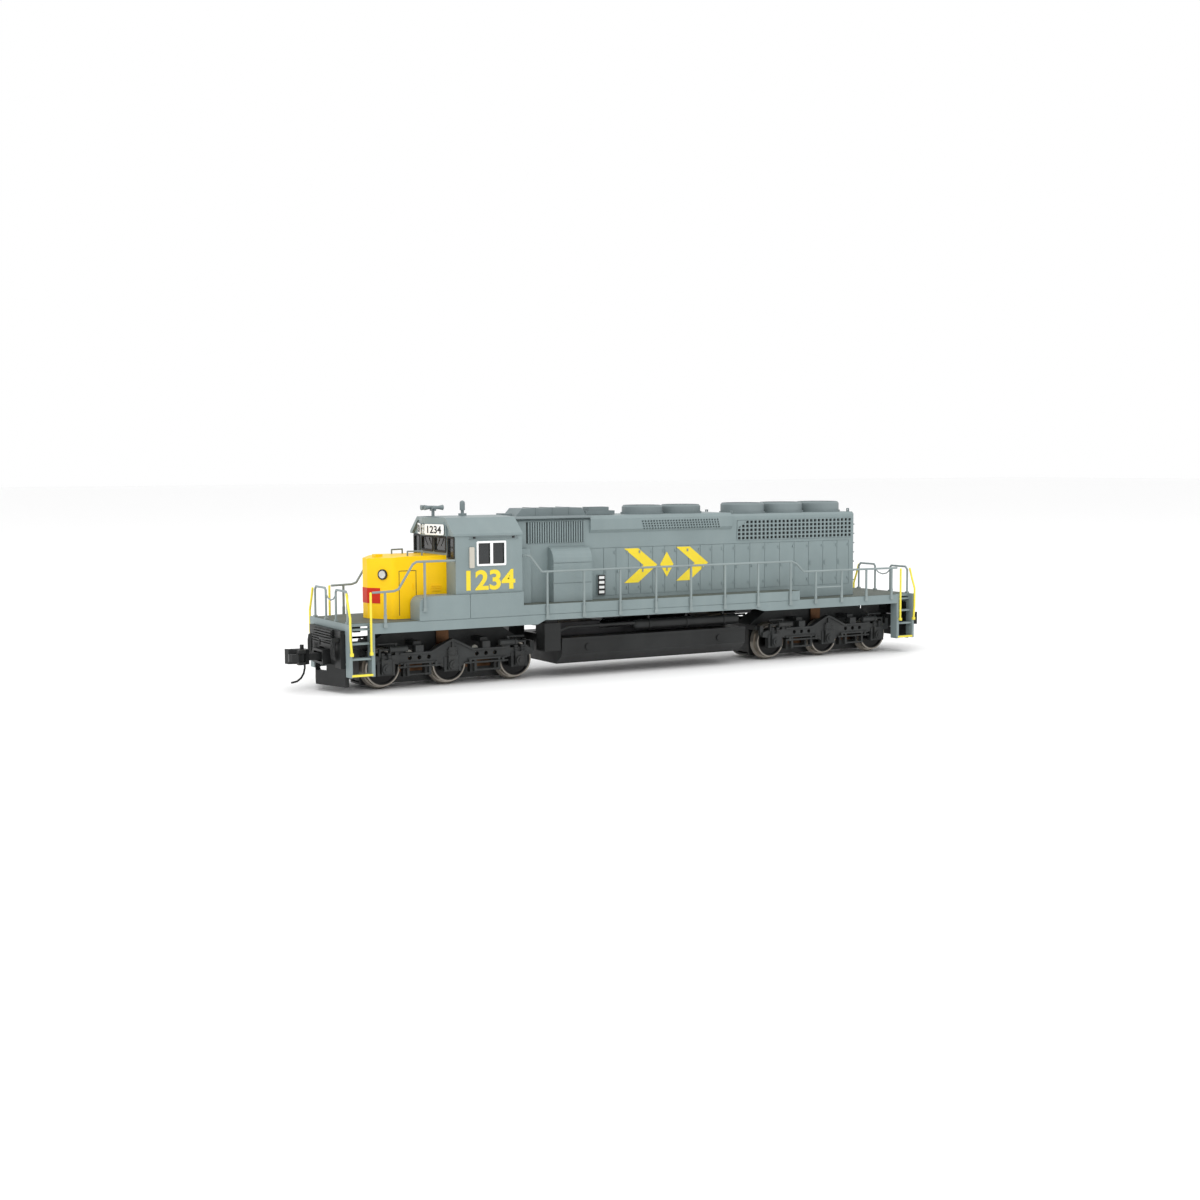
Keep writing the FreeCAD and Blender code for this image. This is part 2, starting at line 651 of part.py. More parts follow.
def stepUnit(sx, sy):
    def part(x0, x1, y0, y1, z0, z1):
        xs = sorted((sx * x0, sx * x1))
        ys = sorted((sy * y0, sy * y1))
        return box(xs[0], xs[1], ys[0], ys[1], z0, z1)
    out = [part(stepX, stepX + 0.6, stepInY, sillY, 3.0, deckZ - 0.4),
           part(endX - 0.5, endX, stepInY, sillY, 3.0, deckZ - 0.4)]
    for z, y0, y1 in stepTreads:
        out.append(part(stepX, endX, y0, y1, z, z + 0.35))
    return out


stanchionX = [55.5, 48.1, 24.1, 16.5, 8.8, 1.0, -6.8, -14.6, -22.4, -30.2, -36.4, -42.9, -49.2, -55.8]
railY = 9.86
railR = 0.2
gripInX = 58.15
gripLowZ = 7.0
endRailX = 61.6


def stanchion(x, z0, z1):
    post = box(x - 0.24, x + 0.24, sillY + 0.01, sillY + 0.3, z0, z0 + 2.2)
    thin = box(x - 0.19, x + 0.19, sillY + 0.03, sillY + 0.27, z0 + 1.8, z1)
    foot = box(x - 0.34, x + 0.34, sillY + 0.01, sillY + 0.38, z0, z0 + 0.7)
    return [post, thin, foot]


def sideRail():
    high = 22.4
    mid = 19.8
    low = 17.6
    y = railY
    path = [(gripInX - 0.45, y, low - 0.2), (53.9, y, low - 0.1), (53.0, y, low + 0.2), (50.3, y, high - 0.4),
            (49.6, y, high), (cabFrontX + 0.6, y, high)]
    front = bentRod(path, railR)
    front.append(Part.makeSphere(railR, V(gripInX - 0.45, y, low - 0.2)))
    front += bentRod([(cabFrontX + 0.6, y, high), (cabFrontX + 0.6, cabY - 0.3, high - 0.1),
                      (cabFrontX + 0.02, cabY - 0.3, high - 0.1)], railR)
    front.append(Part.makeSphere(railR, V(cabFrontX + 0.6, y, high)))
    front += stanchion(stanchionX[0], 11.3, low)
    front += stanchion(stanchionX[1], 13.7, high)
    rear = bentRod([(cabRearX - 0.25, cabY - 0.3, 22.8), (28.1, y, 22.8), (27.6, y, 22.7), (25.2, y, mid),
                    (-30.4, y, mid), (-31.6, y, mid - 0.5), (-33.3, y, low + 0.1),
                    (-57.1, y, low)], railR)
    rear.append(Part.makeSphere(railR, V(-57.1, y, low)))
    for x in stanchionX[2:10]:
        rear += stanchion(x, 11.2, mid)
    for x in stanchionX[10:]:
        rear += stanchion(x, 11.2, low)
    rear += bentRod([(stanchionX[10], y, 14.4), (stanchionX[11], y, 14.4)], railR * 0.8)
    return [join(front), join(rear)]


def endRails():
    outerY = 7.9
    innerY = 2.45
    footZ = deckZ + 0.01
    topZ = 17.6
    rails = []
    for s in (-1, 1):
        x = s * endRailX
        pieces = []
        for sy in (-1, 1):
            y0 = sy * outerY
            y1 = sy * innerY
            pieces += bentRod([(x, y0, footZ), (x, y0, topZ - 0.6), (x, y0 - sy * 0.6, topZ),
                               (x, y1 + sy * 0.4, topZ), (x, y1, topZ - 0.4), (x, y1, footZ)], railR)
            for y in (y0, y1):
                pieces.append(box(x - 0.3, x + 0.3, y - 0.35, y + 0.35, footZ, footZ + 0.3))
        chain = bentRod([(x, -innerY, topZ - 0.9), (x, -1.3, topZ - 1.7), (x, 0, topZ - 1.95),
                         (x, 1.3, topZ - 1.7), (x, innerY, topZ - 0.9)], railR * 0.6)
        rails.append(join(pieces + chain))
    grips = []
    for sx in (-1, 1):
        for sy in (-1, 1):
            y = sy * (sillY + 0.22)
            feet = []
            for x in (sx * gripInX, sx * (endX - 0.3)):
                ys = sorted((sy * (sillY + 0.01), sy * (sillY + 0.46)))
                feet.append(box(x - 0.26, x + 0.26, ys[0], ys[1], gripLowZ - 0.3, gripLowZ + 0.25))
            inner = bentRod([(sx * gripInX, y, gripLowZ), (sx * gripInX, y, 17.3)], railR)
            inner.append(Part.makeSphere(railR, V(sx * gripInX, y, 17.3)))
            outer = bentRod([(sx * (endX - 0.3), y, gripLowZ), (sx * (endX - 0.1), y, 9.6),
                             (sx * (endX - 0.1), y, 13.2), (sx * (endX - 0.1), sy * 9.0, 15.4),
                             (sx * (endX - 0.1), sy * 8.35, 17.2)], railR)
            outer.append(Part.makeSphere(railR, V(sx * (endX - 0.1), sy * 8.35, 17.2)))
            grips.append(join(inner + feet[:1]))
            grips.append(join(outer + feet[1:]))
    return rails, grips


def pilots():
    def front():
        plate = box(endX + 0.01, endX + 0.85, -7.6, 7.6, 4.4, 10.9)
        mouth = box(50, 70, -2.75, 2.75, 4.55, 7.45)
        cleat = [box(endX + 0.8, endX + 1.5, -4.6, 4.6, 10.9 - 0.45 * k, 11.1 - 0.45 * k) for k in range(1, 7)]
        web = box(endX + 0.7, endX + 1.1, -4.4, 4.4, 8.3, 10.9)
        plow = plateXY([(endX, -7.4), (endX + 2.6, 0), (endX, 7.4), (endX - 0.7, 7.4), (endX + 1.6, 0),
                        (endX - 0.7, -7.4)], 1.15, 4.9)
        plow = plow.cut(box(50, 70, -2.75, 2.75, 3.6, 7.4))
        return join([plate, web] + cleat + [plow]).cut(mouth)

    def rear():
        plate = box(-endX - 0.85, -endX - 0.01, -7.6, 7.6, 3.0, 10.9)
        mouth = box(-70, -50, -2.75, 2.75, 4.55, 7.45)
        cleat = [box(-endX - 1.5, -endX - 0.8, -4.6, 4.6, 10.9 - 0.45 * k, 11.1 - 0.45 * k)
                 for k in range(1, 7)]
        web = box(-endX - 1.1, -endX - 0.7, -4.4, 4.4, 8.3, 10.9)
        return join([plate, web] + cleat).cut(mouth)
    return [front(), rear()]


# couplers

boxX0 = 59.35
boxX1 = 64.2
headLowZ = 4.75
headTopZ = 7.35


def couplerBox(s):
    body = box(boxX0, boxX1, -2.6, 2.6, 4.75, 7.25)
    room = box(boxX0 + 0.5, boxX1 + 1, -2.05, 2.05, 5.15, 6.85)
    post = rodZ(5.0, 7.0, couplerPivotX, 0, 0.55)
    mount = box(boxX0, endX - 0.55, -1.6, 1.6, 7.2, deckZ - 0.5)
    hole = rodZ(6.9, 10.0, couplerPivotX, 0, 0.3)
    shape = join([body.cut(room), post, mount]).cut(hole)
    return shape if s > 0 else halfTurn(shape)


def couplerSpring(s):
    radius = 0.33
    wire = 0.09
    helix = Part.makeHelix(0.32, 1.55, radius)
    ring = Part.Wire(Part.makeCircle(wire, V(radius, 0, 0), V(0, 1, 0)))
    coil = Part.Wire(helix).makePipeShell([ring], True, True)
    if coil.Volume < 0:
        coil.reverse()
    coil.rotate(V(0, 0, 0), V(0, 1, 0), 90)
    coil = coil.translated(V(62.6, 0, couplerZ))
    return coil if s > 0 else halfTurn(coil)


def couplerBody(s):
    eye = rodZ(5.4, 6.6, couplerPivotX, 0, 1.25)
    shank = box(couplerPivotX, 66.6, -0.75, 0.75, 5.4, 6.6)
    head = plateXY([(66.0, -0.8), (66.8, -1.55), (68.6, -1.7), (faceX - 0.2, -2.15), (faceX - 0.5, -1.0),
                    (68.3, -0.75), (67.6, -0.35), (67.5, 0.75), (66.9, 1.0), (66.0, 0.8)],
                    headLowZ, headTopZ)
    lugs = [plateXY([(66.4, 0.2), (66.9, 1.5), (68.1, 1.55), (68.2, 0.75), (67.4, 0.3)], z0, z1)
            for z0, z1 in ((headLowZ, 5.25), (6.75, headTopZ))]
    pin = rodZ(headLowZ, headTopZ, 67.45, 1.05, 0.28)
    knob = rodZ(headTopZ - 0.05, 8.1, 66.9, -0.4, 0.35)
    trip = bentRod([(66.5, -0.2, headLowZ + 0.2), (66.5, -0.2, 4.0), (66.75, -0.1, 3.1), (67.3, 0.1, 2.35),
                    (68.1, 0.3, 1.85), (69.2, 0.5, 1.7)], 0.17)
    room = box(62.4, 64.4, -0.5, 0.5, 5.5, 6.5)
    hole = rodZ(4, 8, couplerPivotX, 0, 0.55 + runGap)
    head = head.cut(box(66.75, 70, 0.25, 3, 5.25, 6.75))
    shape = join([eye, shank, head, pin, knob] + lugs + trip).cut(hole).cut(room)
    return shape if s > 0 else halfTurn(shape)


def knuckle(s):
    jaw = plateXY([(67.0, 0.95), (67.3, 1.55), (68.3, 1.85), (69.3, 1.5), (faceX, 0.7), (69.5, -0.1),
                   (69.1, -0.35), (68.85, -0.1), (69.0, 0.45), (68.6, 0.75), (67.9, 0.65)], 5.34, 6.66)
    eye = rodZ(5.34, 6.66, 67.45, 1.05, 0.55)
    shape = join([jaw, eye]).cut(rodZ(4, 8, 67.45, 1.05, 0.28 + runGap))
    return shape if s > 0 else halfTurn(shape)


# bodywork

def longHood():
    outer = [(-hoodY, 12.2), (-hoodY, hoodTopZ - 0.45), (-hoodY + 0.45, hoodTopZ),
             (hoodY - 0.45, hoodTopZ), (hoodY, hoodTopZ - 0.45), (hoodY, 12.2)]
    inner = [(-hoodY + wall, 12.0), (-hoodY + wall, hoodTopZ - 0.9), (-hoodY + 0.8, hoodTopZ - wall),
             (hoodY - 0.8, hoodTopZ - wall), (hoodY - wall, hoodTopZ - 0.9), (hoodY - wall, 12.0)]
    shell = plateYZ(outer, hoodRearX, cabRearX - 0.05).cut(plateYZ(inner, hoodRearX + wall, cabRearX + 1))
    cuts = [box(13.9, 26.1, -8, 8, 24.7, 28.6),
            box(-48.6, -20.3, -8, 8, 24.1, 28.0),
            box(-18.5, 12.4, -8, 8, 26.6, 28.2)]
    for x0, x1 in doorColumns():
        cuts.append(box(x0 - 0.05, x0 + 0.05, hoodY - 0.1, hoodY + 1, 14.6, 23.4))
        cuts.append(box(x0 - 0.05, x0 + 0.05, -hoodY - 1, -hoodY + 0.1, 14.6, 23.4))
    for z in (14.55, 23.45):
        cuts.append(box(-48.0, 12.8, hoodY - 0.1, hoodY + 1, z - 0.05, z + 0.05))
        cuts.append(box(-48.0, 12.8, -hoodY - 1, -hoodY + 0.1, z - 0.05, z + 0.05))
    for y in (-1, 1):
        cuts.append(box(hoodRearX - 1, hoodRearX + 0.1, y * 2.6 - 0.05, y * 2.6 + 0.05, 13.4, 24.0))
    cuts.append(box(hoodRearX - 1, hoodRearX + 0.1, -2.6, 2.6, 23.95, 24.05))
    lampHole = rodX(hoodRearX - 1, hoodRearX + 1, 0, 27.0, 0.75)
    shell = shell.cut(Part.makeCompound(cuts)).cut(lampHole)
    latches = []
    for x0, x1 in doorColumns()[1:]:
        for z in (15.6, 22.3):
            latches.append(box(x0 + 0.12, x0 + 0.42, hoodY - 0.05, hoodY + 0.14, z, z + 0.5))
        latches.append(box(x1 - 0.55, x1 - 0.3, hoodY - 0.05, hoodY + 0.18, 18.7, 19.5))
    rear = [box(hoodRearX - 0.35, hoodRearX + 0.05, -1.3, 1.3, 25.8, 28.2).cut(
        rodX(hoodRearX - 1, hoodRearX + 1, 0, 27.0, 0.75))]
    return [join([shell] + latches + [mirrorY(l) for l in latches] + rear)]


def doorColumns():
    edges = [12.6, 9.9, 7.2, 4.5, 1.8, -0.9, -3.6, -6.3, -9.0, -11.7, -14.4, -17.1, -19.8, -23.4, -27.0,
             -30.6, -34.2, -37.8, -41.4, -45.0, -48.0]
    return list(zip(edges[1:], edges[:-1]))


def grilles():
    out = []
    intakeBars = [box(x - 0.13, x + 0.13, 5.2, 5.75, 24.7, 28.6)
                  for x in [14.15 + 0.5 * k for k in range(24)]]
    intakeBack = box(13.9, 26.1, 5.08, 5.3, 24.7, 28.6)
    out.append(join([intakeBack] + intakeBars))
    radiator = box(-48.6, -20.3, 5.15, 5.7, 24.1, 28.0)
    notch = plateXZ([(-20.2, 28.1), (-23.0, 28.1), (-20.2, 26.4)], 5, 6)
    cells = []
    columns = 29
    rows = 5
    stepAlong = 28.3 / columns
    stepUp = 3.9 / rows
    for i in range(columns):
        for j in range(rows):
            x = -48.6 + stepAlong * i
            z = 24.1 + stepUp * j
            cells.append(box(x + 0.17, x + stepAlong - 0.17, 5.3, 6, z + 0.13, z + stepUp - 0.13))
    radiator = radiator.cut(notch).cut(Part.makeCompound(cells))
    out.append(radiator)
    return bothSides(out)


def brakeHatch():
    section = [(0, 26.3), (hoodY + 0.02, 26.3), (hoodY + 0.45, 26.9), (hoodY + 0.45, 28.9),
               (hoodY - 0.2, 29.5), (0, 29.5)]
    left = plateYZ(section, -18.9, 12.85)
    room = plateYZ([(-1, 26.0), (hoodY - 0.1, 26.0), (hoodY + 0.05, 27.0), (hoodY + 0.05, 28.7),
                    (hoodY - 0.6, 29.1), (-1, 29.1)], -18.5, 12.45)
    gap = []
    for row in range(4):
        for k in range(28):
            x = -16.1 + 0.63 * k + 0.12 * row
            z = 26.75 + 0.46 * row
            gap.append(box(x + 0.1, x + 0.5, 5.7, 7, z, z + 0.3))
    half = left.cut(room).cut(box(-30, 30, -1, hoodY + 0.0, 20, hoodTopZ + 0.02))
    half = half.cut(Part.makeCompound(gap))
    return [join([half, mirrorY(half)])]


def fan(x, r, z0, z1):
    lip = Part.makeCone(r, r - 0.3, 0.35, V(x, 0, z1 - 0.35))
    ring = join([rodZ(z0, z1 - 0.35, x, 0, r), lip]).cut(rodZ(z1 - 0.45, z1 + 1, x, 0, r - 0.55))
    base = rodZ(z0, z0 + 0.35, x, 0, r + 0.25)
    hub = rodZ(z1 - 0.5, z1 - 0.05, x, 0, r * 0.22)
    spokes = []
    for k in range(16):
        bar = box(x, x + r - 0.45, -0.09, 0.09, z1 - 0.3, z1 - 0.1)
        bar.rotate(V(x, 0, 0), V(0, 0, 1), 22.5 * k)
        spokes.append(bar)
    rings = [rodZ(z1 - 0.3, z1 - 0.1, x, 0, rr + 0.1).cut(rodZ(z1 - 1, z1 + 1, x, 0, rr - 0.08))
             for rr in (r * 0.45, r * 0.7)]
    return join([ring, base, hub] + spokes + rings)


def roofFans():
    out = []
    for x in (-25.4, -34.8, -44.2):
        out.append(fan(x, 4.35, hoodTopZ, 31.3))
    for x in (-1.9, -10.7):
        out.append(fan(x, 3.9, 29.5, 31.2))
    return out


def roofHatch():
    plate = box(12.9, 28.75, -hoodY - 0.75, hoodY + 0.75, hoodTopZ, hoodTopZ + 0.4)
    plate = plate.makeChamfer(0.2, [e for e in plate.Edges if abs(e.Vertexes[0].Z - plate.BoundBox.ZMax) < 1e-6
                                    and abs(e.Vertexes[1].Z - plate.BoundBox.ZMax) < 1e-6])
    pod = plateXZ([(11.9, 29.5), (12.9, 31.0), (25.4, 31.0), (26.7, 29.6)], -2.6, 2.6)
    pod = pod.cut(box(11, 12.9, -3, 3, 29.0, 29.55))
    ribs = [box(x - 0.12, x + 0.12, -2.7, 2.7, 29.55, 31.1) for x in (15.5, 19.0, 22.5)]
    small = box(26.9, 28.6, -1.6, 1.6, 29.55, 30.1)
    return [join([plate, pod, small] + ribs)]


def blowerDuct():
    points = [(hoodY + 0.02, 14.0), (7.8, 14.0), (7.8, 21.4)]
    for k in range(1, 7):
        a = math.radians(15 * k)
        points.append((hoodY + 0.02 + 2.23 * math.cos(a), 21.4 + 2.6 * math.sin(a)))
    body = plateYZ(points, 13.6, 21.7)
    seam = Part.makeCompound([box(13, 22, 7.68, 9, z - 0.06, z + 0.06) for z in (17.4, 21.1)])
    step = plateYZ([(hoodY + 0.02, 14.0), (6.9, 14.0), (6.9, 23.0), (6.3, 23.8), (hoodY + 0.02, 23.8)],
                   25.9, 28.6)
    sight = box(9.7, 11.4, hoodY + 0.02, hoodY + 0.35, 14.7, 18.5)
    slots = [box(9.95, 11.15, hoodY + 0.2, hoodY + 1, z, z + 0.55) for z in (15.0, 15.9, 16.8, 17.7)]
    left = [body.cut(seam), step, sight.cut(Part.makeCompound(slots))]
    return bothSides(left)


def cabSection(inset):
    y = cabY - inset
    top = cabTopZ - inset
    ridge = 6.1 - inset * 0.5
    eave = eaveZ - inset * 0.6
    return [(-y, baseTopZ + 0.02 - (5 if inset else 0)), (-y, eave), (-ridge, top - 0.15), (0, top + 0.1),
            (ridge, top - 0.15), (y, eave), (y, baseTopZ + 0.02 - (5 if inset else 0))]


windowLowZ = 21.4
windowTopZ = 25.4
prowTipY = 0.7
prowY = 5.95


def cab():
    outer = plateYZ(cabSection(0), cabRearX, cabFrontX)
    roof = [(-cabY - 0.2, eaveZ - 0.35), (-cabY - 0.2, eaveZ + 0.05), (-6.2, cabTopZ - 0.1), (0, cabTopZ + 0.12),
            (6.2, cabTopZ - 0.1), (cabY + 0.2, eaveZ + 0.05), (cabY + 0.2, eaveZ - 0.35),
            (cabY - 0.5, eaveZ - 0.35), (6.0, cabTopZ - 0.8), (-6.0, cabTopZ - 0.8),
            (-cabY + 0.5, eaveZ - 0.35)]
    roofCap = plateYZ(roof, cabRearX, cabFrontX + 0.55)
    prow = plateXY([(cabFrontX - 0.3, -prowY), (cabFrontX + 0.3, -prowY), (cabFrontX + 2.0, -prowTipY),
                    (cabFrontX + 2.0, prowTipY), (cabFrontX + 0.3, prowY), (cabFrontX - 0.3, prowY)],
                   26.5, cabTopZ - 0.1)
    inner = plateYZ(cabSection(wall), cabRearX + wall, cabFrontX - wall)
    lamp = box(38, 50, -0.47, 0.47, 26.8, 28.6)
    cuts = [lamp, box(cabRearX - 1, cabRearX + 1, -4.9, 4.9, 12, 27.5),
            box(cabFrontX - 1, cabFrontX + 1, -4.7, 4.7, 12, 21.6)]
    for y in (-1, 1):
        cuts.append(box(32.3, 37.6, min(y * 8.2, y * 10), max(y * 8.2, y * 10), windowLowZ, windowTopZ))
        ys = sorted((y * 0.35, y * 5.3))
        cuts.append(box(cabFrontX - 1, cabFrontX + 0.3, ys[0], ys[1], 23.7, 26.25))
        ys = sorted((y * 6.1, y * 8.75))
        cuts.append(box(cabFrontX - 1, cabFrontX + 0.3, ys[0], ys[1], 22.7, 26.3))
    shell = join([outer, roofCap, prow]).cut(inner).cut(join(cuts))
    return [shell]


def cabGlazing():
    out = []
    for y in (-1, 1):
        ys = sorted((y * (cabY - 0.42), y * (cabY - 0.18)))
        out.append(box(32.35, 37.55, ys[0], ys[1], windowLowZ + 0.05, windowTopZ - 0.05))
        ys = sorted((y * 0.38, y * 5.27))
        out.append(box(cabFrontX - 0.4, cabFrontX - 0.12, ys[0], ys[1], 23.73, 26.22))
        ys = sorted((y * 6.13, y * 8.72))
        out.append(box(cabFrontX - 0.4, cabFrontX - 0.12, ys[0], ys[1], 22.73, 26.27))
    return out


def ringFrame(x0, x1, z0, z1, y0, y1, rim):
    return box(x0, x1, y0, y1, z0, z1).cut(box(x0 + rim, x1 - rim, y0 - 1, y1 + 1, z0 + rim, z1 - rim))


def cabTrim():
    windowFrame = join([ringFrame(32.0, 37.9, windowLowZ - 0.2, windowTopZ + 0.2, cabY + 0.01, cabY + 0.16, 0.42),
                        box(34.65, 35.2, cabY + 0.01, cabY + 0.16, windowLowZ, windowTopZ)])
    deflector = plateXZ([(38.3, 20.9), (39.3, 20.9), (39.3, 24.6), (38.3, 24.6)], cabY + 0.01, cabY + 0.35)
    track = join([box(29.6, 39.2, cabY + 0.01, cabY + 0.22, 25.95, 26.1),
                  box(29.6, 39.2, cabY + 0.01, cabY + 0.22, 26.4, 26.5)])
    hooks = [box(x - 0.2, x + 0.2, cabY + 0.01, cabY + 0.3, 26.1, 26.4) for x in (38.3, 30.6)]
    side = [windowFrame, deflector, join([track] + hooks)]
    gaskets = []
    for y0, y1, z0, z1 in ((0.2, 5.5, 23.5, 26.45), (5.95, 8.9, 22.5, 26.5)):
        rim = box(cabFrontX + 0.01, cabFrontX + 0.16, y0, y1, z0, z1).cut(
            box(cabFrontX - 1, cabFrontX + 1, y0 + 0.3, y1 - 0.3, z0 + 0.3, z1 - 0.3))
        gaskets.append(rim)
    wiper = join(bentRod([(cabFrontX + 0.28, 4.4, 26.3), (cabFrontX + 0.28, 2.9, 24.8)], 0.1))
    return bothSides(side + gaskets + [wiper])


def numberBoards():
    out = []
    run = V(-1.7, prowY - prowTipY, 0)
    run.normalize()
    normal = V(run.y, -run.x, 0)
    tip = V(cabFrontX + 2.0, prowTipY, 0)
    for y in (-1, 1):
        points = []
        for along, proud in ((0.12, 0.03), (5.2, 0.03), (5.2, 0.2), (0.12, 0.2)):
            p = tip + run * along + normal * proud
            points.append((p.x, y * p.y))
        out.append(plateXY(points, 26.6, 28.6))
    return out


doorX = (47.8, 51.0)
doorTopZ = 20.6


def noseFace(share):
    return V(noseFrontX + (noseCornerX - noseFrontX) * share, noseFlatY + (noseY - noseFlatY) * share, 0)


def nose():
    rearX = cabFrontX + 0.03
    plan = [(rearX, -noseY), (noseCornerX, -noseY), (noseFrontX, -noseFlatY), (noseFrontX, noseFlatY),
            (noseCornerX, noseY), (rearX, noseY)]
    inset = [(rearX - 1, wall - noseY), (noseCornerX - 0.9, wall - noseY), (noseFrontX - wall, -0.7),
             (noseFrontX - wall, 0.7), (noseCornerX - 0.9, noseY - wall), (rearX - 1, noseY - wall)]
    block = plateXY(plan, deckZ + 0.1, noseTopZ)
    corners = [e for e in block.Edges if abs(e.Vertexes[0].X - noseCornerX) < 1e-6
               and abs(e.Vertexes[1].X - noseCornerX) < 1e-6]
    shell = block.makeFillet(1.1, corners).cut(plateXY(inset, 11, noseTopZ - wall))
    slope = plateXZ([(50, noseTopZ), (56, noseTopZ - 0.4), (56, noseTopZ + 1), (50, noseTopZ + 1)], -7, 7)
    shell = shell.cut(slope)
    grooves = []
    for y in (-1, 1):
        ys = sorted((y * (noseY - 0.1), y * (noseY + 0.1)))
        for x in doorX:
            grooves.append(box(x - 0.05, x + 0.05, ys[0], ys[1], deckZ + 0.7, doorTopZ))
        grooves.append(box(doorX[0] - 0.05, doorX[1] + 0.05, ys[0], ys[1], doorTopZ - 0.05, doorTopZ + 0.05))
    shell = shell.cut(Part.makeCompound(grooves))
    cap = box(52.1, 53.5, -0.75, 0.75, noseTopZ - 0.5, noseTopZ + 0.3)
    latches = []
    for y in (-1, 1):
        ys = sorted((y * (noseY - 0.1), y * (noseY + 0.2)))
        latches.append(box(doorX[0] + 0.35, doorX[0] + 0.6, ys[0], ys[1], 17.4, 18.3))
        for z in (16.9, 17.3, 17.7):
            latches.append(box(43.1, 44.9, ys[0], ys[1], z, z + 0.2))
    return [join([shell, cap] + latches)]


def headlights():
    ring = rodX(cabFrontX + 2.02, cabFrontX + 2.2, 0, 28.1, 0.42)
    ring2 = rodX(cabFrontX + 2.02, cabFrontX + 2.2, 0, 27.2, 0.42)
    spot = noseFace(0.61)
    run = noseFace(1) - noseFace(0)
    normal = V(run.y, -run.x, 0)
    normal.normalize()
    lamp = Part.makeCylinder(0.66, 0.35, V(spot.x, spot.y, 20.0) + normal * 0.01, normal)
    rear = rodX(hoodRearX - 0.5, hoodRearX + 0.6, 0, 27.0, 0.7)
    return [ring, ring2, lamp, mirrorY(lamp), rear]


def roofFittings():
    out = []
    base = cabTopZ + 0.13
    post = join([rodZ(base - 0.0, base + 1.3, 42.0, 0, 0.28), box(41.6, 42.4, -0.5, 0.5, base + 0.9, base + 1.25)])
    bells = []
    for y, length, s in ((-0.75, 2.0, 1), (0.0, 1.7, 1), (0.75, 1.6, -1)):
        cone = Part.makeCone(0.18, 0.48, length, V(42.0, y, base + 1.5), V(s, 0, 0))
        back = rodX(42.0 - s * 0.0 - 0.5, 42.5, y, base + 1.5, 0.32)
        bells += [cone, back]
    bar = rodY(-1.0, 1.0, 42.0, base + 1.35, 0.25)
    out.append(join([post, bar] + bells))
    out.append(join([rodZ(base, base + 0.35, 36.2, 0, 0.75), rodZ(base + 0.3, base + 1.0, 36.2, 0, 0.3),
                     rodZ(base + 0.9, base + 2.2, 36.2, 0, 0.48), Part.makeSphere(0.48, V(36.2, 0, base + 2.2))]))
    stack = box(5.2, 11.5, -1.7, 1.7, 29.55, 30.3)
    stack = join([stack, box(6.2, 10.6, -1.2, 1.2, 30.2, 31.0)])
    stack = stack.cut(box(6.6, 10.2, -0.8, 0.8, 30.4, 32))
    out.append(stack)
    for x, y in ((-49.0 + 0.4, 4.4), (-49.0 + 0.4, -4.4), (-19.8, 4.4), (-19.8, -4.4)):
        out.append(join([box(x - 0.3, x + 0.3, y - 0.1, y + 0.1, hoodTopZ, hoodTopZ + 0.7)]).cut(
            rodY(y - 1, y + 1, x, hoodTopZ + 0.4, 0.15)))
    for y in (-1, 1):
        grab = bentRod([(48.6, y * 3.6, noseTopZ + 0.02), (48.6, y * 3.6, noseTopZ + 0.8),
                        (46.2, y * 4.4, noseTopZ + 0.8), (46.2, y * 4.4, noseTopZ + 0.02)], 0.14)
        out.append(join(grab))
    rungs = []
    for k in range(7):
        z = 15.2 + 1.9 * k
        rungs.append(join(bentRod([(hoodRearX - 0.03, 3.3, z), (hoodRearX - 0.5, 3.3, z),
                                   (hoodRearX - 0.5, 5.1, z), (hoodRearX - 0.03, 5.1, z)], 0.12)))
    out += rungs
    return out


def hoses():
    out = []
    for s in (-1, 1):
        for y in (-6.4, -5.7, -5.0, 5.0, 5.7, 6.4):
            x = s * (endX + 0.9)
            hose = bentRod([(x, y, 9.2), (x + s * 0.45, y, 9.1), (x + s * 0.6, y, 8.2),
                            (x + s * 0.6, y, 6.6), (x + s * 0.35, y, 5.8)], 0.2)
            out.append(join(hose))
        lever = bentRod([(s * (endX + 2.1), 0.9, 8.1), (s * (endX + 2.1), 1.0, 9.2),
                         (s * (endX + 2.1), 6.9, 9.4), (s * (endX + 2.1), 7.3, 8.0)], 0.15)
        lug = box(min(s * (endX + 0.87), s * (endX + 2.2)), max(s * (endX + 0.87), s * (endX + 2.2)),
                  6.75, 7.05, 9.0, 9.7)
        out.append(join(lever + [lug]))
    return out


